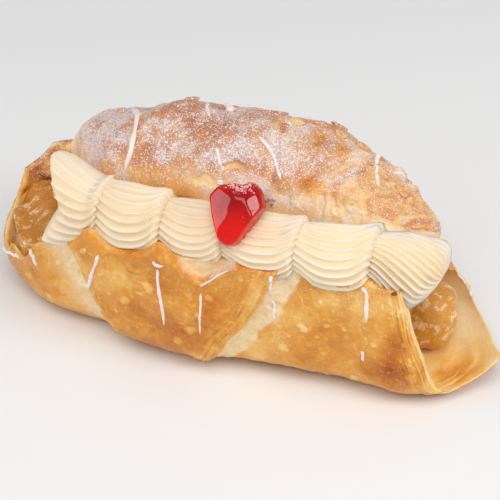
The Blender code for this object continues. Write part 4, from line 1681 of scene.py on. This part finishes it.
@dataclass
class FruitFilling:
    """Pieces of fruit in syrup, lying in the trough from one open end to the other."""

    form: TroughForm
    level: Stations = (
        (-86, 23.8), (-82, 25), (-74, 26.5), (-62, 25.5), (-40, 24), (40, 25), (57, 25), (62, 22.5),
        (66, 17), (70, 9),
    )
    slope: float = 0.26
    span: tuple[float, float] = (0.02, 2.70)
    chunk_centre: Triple = (60.0, 3.6, 16.0)
    chunk_radii: Triple = (9.4, 9.8, 11.0)
    side: float = 1.3
    swell: float = 6.5
    rows: tuple[int, int] = (60, 110)
    columns: tuple[int, ...] = (90, 24, 110)
    dome_steps: int = 14

    def top(self, x: Array, y: Array) -> Array:
        """Height of the filling."""
        lumps = 1.1 * np.sin(x * 0.42 + 0.4) * np.sin(y * 0.36 + 1.0) + 0.7 * np.sin(x * 0.83 - y * 0.5)
        return through(self.level, x) + lumps + self.slope * y * smooth(-88.0, -60.0, x)

    @staticmethod
    def rounded(points: Array, left: Array, turn: Array) -> Array:
        """Draws each end together into a smooth lumpy dome.

        Args:
            points: rings of places, one ring in each column.
            left: whether each column is at the left end.
            turn: how far round its dome each column is, from 0 to a quarter turn.

        Returns:
            The places with their ends rounded.
        """
        waves = np.fft.rfft(points, axis=0)
        waves[3:] = 0.0
        soft = np.fft.irfft(waves, n=len(points), axis=0)
        points = lerp(points, soft, smooth(0.0, 0.75, turn)[:, None])
        core = points.mean(axis=0, keepdims=True)
        way = np.where(left[:, None], np.array([-1.0, 0.0, 0.3]), np.array([0.85, -0.15, 0.45]))
        spoke = (points - core) * np.cos(turn)[:, None]
        spoke = spoke + way * (np.where(left, 0.8, 4.4) * np.sin(turn))[:, None]
        away = unit(spoke, 1e-6)
        domed = core + spoke
        lump = 0.7 * Noise(6.0, 95, 2).at(domed) + 0.25 * Noise(2.0, 96, 2).at(domed)
        return domed + away * (lump * smooth(0.0, 0.5, turn) * np.where(left, 0.4, 1.0))[..., None]

    def chunk(self) -> Piece:
        """The round piece of fruit that shows at the right end.

        Returns:
            The open piece.
        """
        turn = np.linspace(0.0, math.pi, 70)[:, None]
        around = np.linspace(0.0, 2 * math.pi, 111)[None, :]
        way = np.stack(np.broadcast_arrays(
            np.sin(turn) * np.cos(around), np.sin(turn) * np.sin(around), np.cos(turn)), -1)
        boxy = np.sum(np.abs(way) ** 2.6, -1, keepdims=True) ** (-1 / 2.6)
        points = np.array(self.chunk_centre) + way * boxy * np.array(self.chunk_radii)
        lump = 1.1 * Noise(7.0, 97, 2).at(points) + 0.3 * Noise(2.0, 98, 2).at(points)
        points = points + way * lump[..., None]
        points[:, -1] = points[:, 0]
        points[..., 2] = np.maximum(points[..., 2], 4.5)
        return Bench.sheet("chunk", points, {"piece": np.full(points.shape[:2], 0.7)})

    def build(self) -> Piece:
        """Models the filling as one lumpy bed with a round piece of fruit at its right end.

        Returns:
            The finished mesh.
        """
        start, end = self.span
        cap = np.linspace(1.0, 0.0, self.dome_steps + 1)[:-1]
        between = spaced((start, 0.8, 2.3, end), self.columns)
        u = np.concatenate([0 * cap + start, between, 0 * cap + end])
        turn = np.concatenate([cap, 0 * between, cap[::-1]]) * 0.97 * math.pi / 2
        s = np.linspace(-self.side, self.side, self.rows[0])
        s_grid, u_grid = np.meshgrid(s, u, indexing="ij")
        u_grid = u_grid + 0.13 * smooth(0.1, 1.2, np.abs(s_grid)) * smooth(2.3, end, u_grid)
        bed = self.form.inner(s_grid, u_grid, 0.3)
        bed[..., 2] = np.minimum(bed[..., 2], self.top(bed[..., 0], bed[..., 1]) - 0.3)
        share = np.linspace(0.0, 1.0, self.rows[1] + 2)[1:-1, None, None]
        cover = lerp(bed[-1][None], bed[0][None], share)
        bulge = self.swell * np.sin(math.pi * share[..., 0]) ** 0.8
        cover[..., 0] = cover[..., 0] - bulge * smooth(0.35, 0.0, u)
        cover[..., 2] = self.top(cover[..., 0], cover[..., 1])
        near, next_near, own = Cells(7.5, 91).at(cover + 0.9 * Noise(4.0, 93, 2).at(cover)[..., None])
        edge = np.minimum(share[..., 0], 1 - share[..., 0])
        lump = 2.2 * smooth(0.0, 0.5, next_near - near) - 1.2 + 1.2 * (own - 0.5)
        lump = lump + 0.35 * Noise(2.2, 92, 3).at(cover)
        calm = 0.12 + 0.88 * smooth(-72.0, -60.0, cover[..., 0])
        cover[..., 2] = cover[..., 2] + lump * calm * smooth(0.0, 0.10, edge)
        points = np.concatenate([bed, cover, bed[:1]], axis=0)
        # Darker in the creases between lumps. Towards the left end, inside the cup, the fruit is painted
        # darker as painted shade.
        fold = smooth(0.30, 0.0, next_near - near)
        piece = np.concatenate([0 * s_grid + 0.3, own * (1 - fold), 0 * s_grid[:1] + 0.3], axis=0)
        piece = lerp(piece, 0.5, smooth(0.0, 0.4, turn)) * smooth(-74.0, -50.0, points[..., 0])
        points = self.rounded(points, u < 1.5, turn)
        return Bench.finish([Bench.sheet("bed", points, {"piece": piece}), self.chunk()], "fruit_pieces")


@dataclass
class CherryHalf:
    """Half a glazed cherry with flat wet facets, wide above and narrow below.

    A facet is given by the way that it faces and how far it lies from the middle, as a share of the
    half width, half depth or half height. The larger the sharpness, the crisper their edges.
    """

    width: float = 16.2
    height: float = 18.3
    depth: float = 10.5
    centre: Triple = (4.2, -22.3, 60.2)
    lean: float = 38.0
    facets: Spots = (
        (-0.48, -0.87, -0.08, 0.85), (0.71, -0.58, 0.40, 0.95), (0.18, -0.97, -0.12, 0.86),
        (0.05, -0.92, -0.38, 0.86), (0.05, -0.50, 0.86, 0.94), (0.89, 0.0, -0.455, 0.70),
        (0.557, 0.0, -0.83, 0.94), (-0.253, 0.0, -0.968, 1.12), (-0.826, 0.0, -0.563, 0.93),
        (-0.918, 0.0, -0.395, 0.93), (-0.779, 0.0, 0.626, 1.18), (-0.319, 0.0, 0.948, 1.05),
        (0.403, 0.0, 0.915, 1.16), (0.883, 0.0, 0.469, 1.04), (0.0, 1.0, 0.0, 0.9),
    )
    sharpness: float = 22.0
    segments: int = 128
    rings: int = 96

    def reach(self, way: Array) -> Array:
        """How far the cherry reaches in each direction, before its width and height are given.

        Args:
            way: unit vectors.

        Returns:
            The distance from the middle.
        """
        total = 0.0
        for x, y, z, far in self.facets:
            total = total + (np.clip(way @ np.array([x, y, z]), 0.0, None) / far) ** self.sharpness
        return total ** (-1.0 / self.sharpness)

    def build(self) -> Piece:
        """Models the cherry from a sphere.

        Returns:
            The finished mesh.
        """
        Bench.idle()
        bpy.ops.mesh.primitive_uv_sphere_add(segments=self.segments, ring_count=self.rings, radius=1.0)
        made = bpy.context.object
        made.name = made.data.name = "cherry_half"
        ball = np.empty(len(made.data.vertices) * 3, np.float32)
        made.data.vertices.foreach_get("co", ball)
        way = ball.reshape(-1, 3).astype(float)
        x, y, z = (way * self.reach(way)[:, None]).T
        cleft = 0.10 * bump(x, -0.05, 0.22) * smooth(0.55, 0.95, z)
        deep, high = turned(y * self.depth / 2, (z - cleft) * self.height / 2, self.lean)
        points = np.array(self.centre) + np.stack([x * self.width / 2, deep, high], -1)
        bumps = 0.16 * Noise(5.5, 101, 2).at(points) + 0.05 * Noise(1.8, 102, 2).at(points)
        points = points + unit(points - np.array(self.centre)) * (bumps - 0.1)[..., None]
        # Painted glow: brighter red low down and towards the rim, darker red at the top.
        painted_glow = smooth(0.3, -0.9, z) + 0.5 * smooth(0.5, 1.0, np.hypot(x, z)) - 0.4 * smooth(0.0, 0.7, z)
        sugar = 0.95 * smooth(0.62, 0.92, z) * smooth(0.7, 0.2, x)
        Bench.shape(made, points, {"sugar": sugar, "painted_glow": painted_glow})
        Bench.smooth(made)
        return made


class Host(Enum):
    """The face that a strand of icing or a loose flake lies on."""

    TOP = "top"
    TROUGH = "trough"
    INSIDE = "inside"


@dataclass(frozen=True)
class Crust:
    """Both crusts, for what lies on them."""

    top: Lid
    trough: Trough

    def spot(self, host: Host, x: Array, place: Array) -> tuple[Array, Array]:
        """Places on a face, and the way out of it.

        Args:
            host: the face.
            x: how far along the pastry each place is.
            place: its angle in degrees on the top, or the section's own measure s on the trough.

        Returns:
            The places and their outward unit normals.
        """
        piece = self.top if host is Host.TOP else self.trough
        place = place * (math.pi / 180 if host is Host.TOP else 1.0)
        u = piece.form.u_of(place, x)
        outward = surface_normals(piece.form.plain, place, u)
        if host is Host.INSIDE:
            return piece.lining(place, u), -outward
        return piece.skin(place, u), outward


@dataclass
class IcingStrands:
    """Thin strands of icing thrown across the crust, each a row of (x, place) and a width."""

    crust: Crust
    strands: tuple[tuple[Host, tuple[tuple[float, float], ...], float], ...] = (
        (Host.TOP, ((-47, 70), (-41, 100), (-38, 139), (-39.5, 163)), 1.9),
        (Host.TOP, ((-20, 76), (-19, 84), (-16, 97)), 1.2),
        (Host.TOP, ((-15.5, 62), (-13, 70), (-12, 80)), 2.6),
        (Host.TOP, ((-9, 131), (-6.6, 147), (-5.6, 153)), 1.3),
        (Host.TOP, ((-6, 158), (-5.6, 165)), 2.2),
        (Host.TOP, ((2, 110), (6, 119), (9.4, 129), (11.4, 139), (13, 147)), 1.2),
        (Host.TOP, ((7, 84), (10, 87)), 0.8),
        (Host.TOP, ((35.4, 60), (37, 74), (39.2, 91), (41.2, 109)), 1.5),
        (Host.TOP, ((-40, 34), (-38, 58)), 1.6),
        (Host.TOP, ((-12, 26), (-14, 50)), 1.3),
        (Host.TOP, ((14, 30), (11, 64)), 1.2),
        (Host.TOP, ((45, 38), (42, 58)), 1.2),
        (Host.TROUGH, ((-83.5, -0.58), (-79, -0.90), (-76, -0.99), (-74, -1.12)), 1.3),
        (Host.TROUGH, ((-67.5, -1.92), (-67, -1.75), (-65.4, -1.35)), 1.4),
        (Host.TROUGH, ((-39, -1.97), (-42.2, -1.59), (-44.8, -1.21)), 1.35),
        (Host.TROUGH, ((-20.4, -2.02), (-20.0, -1.985), (-19.0, -1.955), (-16.4, -1.96)), 1.1),
        (Host.TROUGH, ((-18.6, -1.90), (-18.4, -1.71), (-17.2, -1.52), (-16.6, -1.27), (-16.4, -1.08)), 1.15),
        (Host.TROUGH, ((-4.6, -1.64), (-4.4, -1.40), (-4.2, -1.09)), 0.8),
        (Host.TROUGH, ((17, -1.98), (17, -1.85), (16.8, -1.67)), 1.1),
        (Host.TROUGH, ((17.4, -1.62), (18.4, -1.35)), 1.1),
        (Host.TROUGH, ((45, -1.99), (46.6, -1.93), (47, -1.84), (47.4, -1.57)), 1.3),
        (Host.TROUGH, ((47, -1.19), (47.2, -1.05)), 1.0),
        (Host.TROUGH, ((-5, -1.75), (-2, -1.81), (1, -1.90), (4.5, -1.985)), 0.6),
        (Host.TROUGH, ((-43, 1.00), (-41, 1.50)), 1.3),
        (Host.TROUGH, ((-16, 0.90), (-13, 1.45)), 1.2),
        (Host.TROUGH, ((19, 1.05), (16, 1.60)), 1.2),
        (Host.INSIDE, ((64.5, 1.30), (66.6, 1.26), (67.0, 1.14), (66.0, 1.08)), 1.0),
        (Host.INSIDE, ((69.4, 1.02), (70.2, 0.94)), 1.1),
    )
    steps: int = 44
    sides: int = 13
    above: float = 0.15
    flatness: float = 0.84

    def strand(self, host: Host, route: tuple[tuple[float, float], ...], width: float,
               seed: int) -> Piece:
        """One strand, half sunk in the crust, of uneven width and with rounded ends.

        Args:
            host: the face that it lies on.
            route: the points that it passes through.
            width: its mean width in millimetres.
            seed: its number, which also sets its unevenness.

        Returns:
            The open strand.
        """
        t = np.linspace(0.0, 1.0, self.steps)
        knots = np.linspace(0.0, 1.0, len(route))
        stations = np.array(route, float)
        line = np.stack([t * 20.0, 0 * t + 3.1 * seed, 0 * t], -1)
        x = through(tuple(zip(knots, stations[:, 0])), t) + 0.3 * Noise(5.0, 111, 2).at(line)
        points, outward = self.crust.spot(host, x, through(tuple(zip(knots, stations[:, 1])), t))
        heading = np.gradient(points, axis=0)
        side = unit(np.cross(heading, outward))
        wide = np.sin(np.clip(t * 14.0, 0, math.pi / 2)) * np.sin(np.clip((1 - t) * 9.0, 0, math.pi / 2))
        wide = wide * width * (0.9 + 0.45 * Noise(3.0, 112, 2).at(line) + 0.3 * bump(t, 0.05, 0.06))
        round_it = np.linspace(0.0, 2 * math.pi, self.sides)[None, :, None]
        spread = np.cos(round_it) * side[:, None] * wide[:, None, None] / 2
        lift = np.sin(round_it) * outward[:, None] * wide[:, None, None] * self.flatness / 2
        above = outward[:, None] * self.above
        return Bench.sheet(f"strand_{seed}", points[:, None] + above + spread + lift)

    def build(self) -> Piece:
        """Models every strand and joins them into one piece.

        Returns:
            The finished mesh.
        """
        parts = [self.strand(*one, seed) for seed, one in enumerate(self.strands)]
        return Bench.finish(parts, "icing_strands")


@dataclass(frozen=True)
class Chip:
    """One loose flake: the face and place it lies on, its size, how it is turned, and its bake."""

    host: Host
    x: float
    place: float
    size: Triple
    spin: float = 0.0
    tilt: float = 10.0
    lift: float = 0.5
    bake: float = 0.5
    sugar: float = 0.2


@dataclass
class LooseFlakes:
    """Curled flakes and crumbs of crust that lie on the pastry."""

    crust: Crust
    chips: tuple[Chip, ...] = (
        Chip(Host.TOP, 1.5, 66, (8.5, 4.5, 1.5), 8, 16, 0.5, 0.85, 0.45),
        Chip(Host.TOP, 9.8, 77, (5.6, 3.6, 1.2), -14, 14, 0.4, 0.24, 0.25),
        Chip(Host.TOP, 17.0, 68, (5.0, 3.0, 1.2), 20, 14, 0.4, 0.70, 0.40),
        Chip(Host.TOP, 24.0, 70, (4.5, 3.0, 1.2), -30, 16, 0.4, 0.45, 0.35),
        Chip(Host.TOP, 31.0, 64, (6.0, 3.4, 1.2), 12, 12, 0.4, 0.60, 0.35),
        Chip(Host.TOP, 38.0, 76, (4.0, 2.6, 1.1), 40, 14, 0.4, 0.35, 0.30),
        Chip(Host.TOP, 47.0, 84, (5.0, 2.6, 1.1), -20, 16, 0.4, 0.55, 0.30),
        Chip(Host.TOP, -27.0, 66, (5.0, 3.2, 1.1), 30, 12, 0.4, 0.75, 0.55),
        Chip(Host.TOP, -50.0, 80, (4.0, 2.6, 1.0), -10, 14, 0.3, 0.70, 0.60),
        Chip(Host.TOP, 10.2, 167, (1.5, 1.0, 0.7), 20, 0, 0.3, 1.2, 0.5),
        Chip(Host.TOP, 11.7, 165, (1.3, 0.9, 0.7), -30, 0, 0.3, 1.2, 0.6),
        Chip(Host.TOP, 11.4, 170, (1.1, 0.8, 0.6), 60, 0, 0.3, 1.2, 0.4),
        Chip(Host.TROUGH, 55.0, -1.99, (2.2, 1.2, 1.2), 10, 0, 0.6, 1.15, 0.1),
        Chip(Host.TROUGH, -44.5, -1.985, (3.4, 1.8, 0.8), 35, 24, 0.4, 0.30, 0.1),
        Chip(Host.INSIDE, 61.0, 1.42, (5.0, 3.4, 2.8), 50, 10, 1.2, 0.60, 0.3),
        Chip(Host.INSIDE, 57.5, 1.56, (3.2, 2.2, 1.6), -20, 10, 0.8, 0.70, 0.3),
        Chip(Host.TOP, 20.0, 40, (6.0, 3.6, 1.2), 25, 14, 0.4, 0.60, 0.30),
        Chip(Host.TOP, -8.0, 36, (5.0, 3.0, 1.2), -15, 14, 0.4, 0.50, 0.40),
        Chip(Host.TROUGH, 10.0, 1.70, (5.5, 3.0, 1.1), 15, 16, 0.4, 0.60, 0.20),
        Chip(Host.TROUGH, -34.0, 1.74, (5.0, 2.8, 1.0), -25, 16, 0.4, 0.45, 0.20),
    )
    rings: int = 22
    sides: int = 37

    def flake(self, chip: Chip, seed: int) -> Piece:
        """One flake: a thin lens, bent and ragged, turned as it lies.

        Args:
            chip: what is known of it.
            seed: its number, which sets its unevenness.

        Returns:
            The open flake.
        """
        spot, out = self.crust.spot(chip.host, np.array([chip.x]), np.array([chip.place]))
        spot, out = spot[0], out[0]
        towards = np.array([0.0, -1.0, 0.0] if abs(out[1]) < 0.9 else [0.0, 0.0, 1.0])
        along = unit(np.cross(out, towards))
        along, side = turned(along, np.cross(out, along), chip.spin)
        side, out = turned(side, out, chip.tilt)
        turn = np.linspace(0.0, math.pi, self.rings)[:, None]
        around = np.linspace(0.0, 2 * math.pi, self.sides)[None, :]
        a = np.sin(turn) ** 0.7 * np.cos(around) * chip.size[0] / 2
        b = np.sin(turn) ** 0.7 * np.sin(around) * chip.size[1] / 2
        local = np.stack(np.broadcast_arrays(a, b, np.cos(turn) * chip.size[2] / 2), -1)
        local = local * (1.0 + 0.35 * Noise(1.6, 120 + seed, 2).at(local))[..., None]
        local[..., 2] = local[..., 2] - 0.35 * chip.size[2] * (2 * b / chip.size[1]) ** 2
        local[:, -1] = local[:, 0]
        points = spot + local[..., :1] * along + local[..., 1:2] * side + (local[..., 2:] + chip.lift) * out
        masks = {"bake": chip.bake + 0.15 * Noise(1.5, 121).at(local), "pale": np.zeros(a.shape),
                 "sugar": np.full(a.shape, chip.sugar), "shine": np.full(a.shape, 0.5)}
        return Bench.sheet(f"flake_{seed}", points, masks)

    def build(self) -> Piece:
        """Models every flake and joins them into one piece.

        Returns:
            The finished mesh.
        """
        parts = [self.flake(chip, seed) for seed, chip in enumerate(self.chips)]
        return Bench.finish(parts, "loose_flakes")


# -------- studio


@dataclass(frozen=True)
class Studio:
    """A pale floor, soft light and the camera, in metres and degrees.

    A lamp is given by its name, azimuth, elevation, power in watts and the length of its side.
    """

    azimuth: float = 20.0
    elevation: float = 38.0
    distance: float = 0.62
    lens: float = 138.0
    target: Triple = (0.0021, -0.0016, 0.0283)
    lamps: tuple[tuple[str, float, float, float, float], ...] = (
        ("top", 14.0, 62.0, 4.0, 0.6),
        ("left", -62.0, 15.0, 1.25, 0.34),
        ("right", 84.0, 37.0, 2.2, 0.3),
    )
    lamp_distance: float = 0.9
    sky: float = 0.42
    floor_size: float = 8.0
    floor_grey: float = 0.86

    def lamp(self, name: str, azimuth: float, elevation: float, power: float, size: float) -> None:
        """A square area light aimed at the pastry.

        Args:
            name: its name.
            azimuth: its direction round the pastry.
            elevation: its height in degrees.
            power: its power in watts.
            size: the length of its side.
        """
        way = self.direction(azimuth, elevation)
        bpy.ops.object.light_add(type="AREA", location=way * self.lamp_distance)
        lamp = bpy.context.object
        lamp.name = lamp.data.name = name
        lamp.rotation_euler = way.to_track_quat("Z", "Y").to_euler()
        lamp.data.energy = power
        lamp.data.size = size

    @staticmethod
    def direction(azimuth: float, elevation: float) -> Vector:
        """The unit vector towards a viewpoint: azimuth 0 is in front, elevation 90 is above."""
        a, e = math.radians(azimuth), math.radians(elevation)
        return Vector((math.sin(a) * math.cos(e), -math.cos(a) * math.cos(e), math.sin(e)))

    def build(self) -> None:
        """Sets the floor, the lights, the world and the camera."""
        Bench.idle()
        bpy.ops.mesh.primitive_plane_add(size=self.floor_size, location=(0.0, 0.0, 0.0))
        floor = bpy.context.object
        floor.name = "floor"
        paint = bpy.data.materials.new("floor_paint")
        paint.use_nodes = True
        shader = paint.node_tree.nodes["Principled BSDF"]
        shader.inputs["Base Color"].default_value = (*(self.floor_grey,) * 3, 1.0)
        shader.inputs["Roughness"].default_value = 0.9
        floor.data.materials.append(paint)
        for lamp in self.lamps:
            self.lamp(*lamp)
        world = bpy.data.worlds.new("studio")
        world.use_nodes = True
        background = world.node_tree.nodes["Background"]
        background.inputs["Color"].default_value = (1.0, 1.0, 1.0, 1.0)
        background.inputs["Strength"].default_value = self.sky
        bpy.context.scene.world = world
        bpy.context.scene.view_settings.view_transform = "Standard"
        way = self.direction(self.azimuth, self.elevation)
        bpy.ops.object.camera_add(location=Vector(self.target) + way * self.distance)
        camera = bpy.context.object
        camera.name = "camera"
        camera.rotation_euler = way.to_track_quat("Z", "Y").to_euler()
        camera.data.lens = self.lens
        camera.data.clip_start = 0.01
        bpy.context.scene.camera = camera


def main() -> None:
    """Builds the pastry's pieces in order and reports each one."""
    logging.basicConfig(level=logging.INFO, format="%(message)s")
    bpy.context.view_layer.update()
    trough, lid = Trough(TroughForm()), Lid(TopForm())
    crust = CrustFinish().build()
    Bench.dress(trough.build(), crust, "pastry", ("pastry",))
    Bench.dress(lid.build(), crust, "pastry", ("pastry",))
    Bench.dress(FruitFilling(trough.form).build(), FruitFinish().build(), "fruit_filling", ("fruit_filling",))
    Bench.dress(PipedCream(trough.form).build(), CreamFinish().build(), "piped_cream", ("piped_cream",))
    Bench.dress(CherryHalf().build(), CherryFinish().build(), "cherry", ("cherry",))
    both = Crust(lid, trough)
    Bench.dress(IcingStrands(both).build(), IcingFinish().build(), "pastry", ("pastry",))
    Bench.dress(LooseFlakes(both).build(), crust, "pastry", ("pastry",))
    Studio().build()


if __name__ == "__main__":
    main()
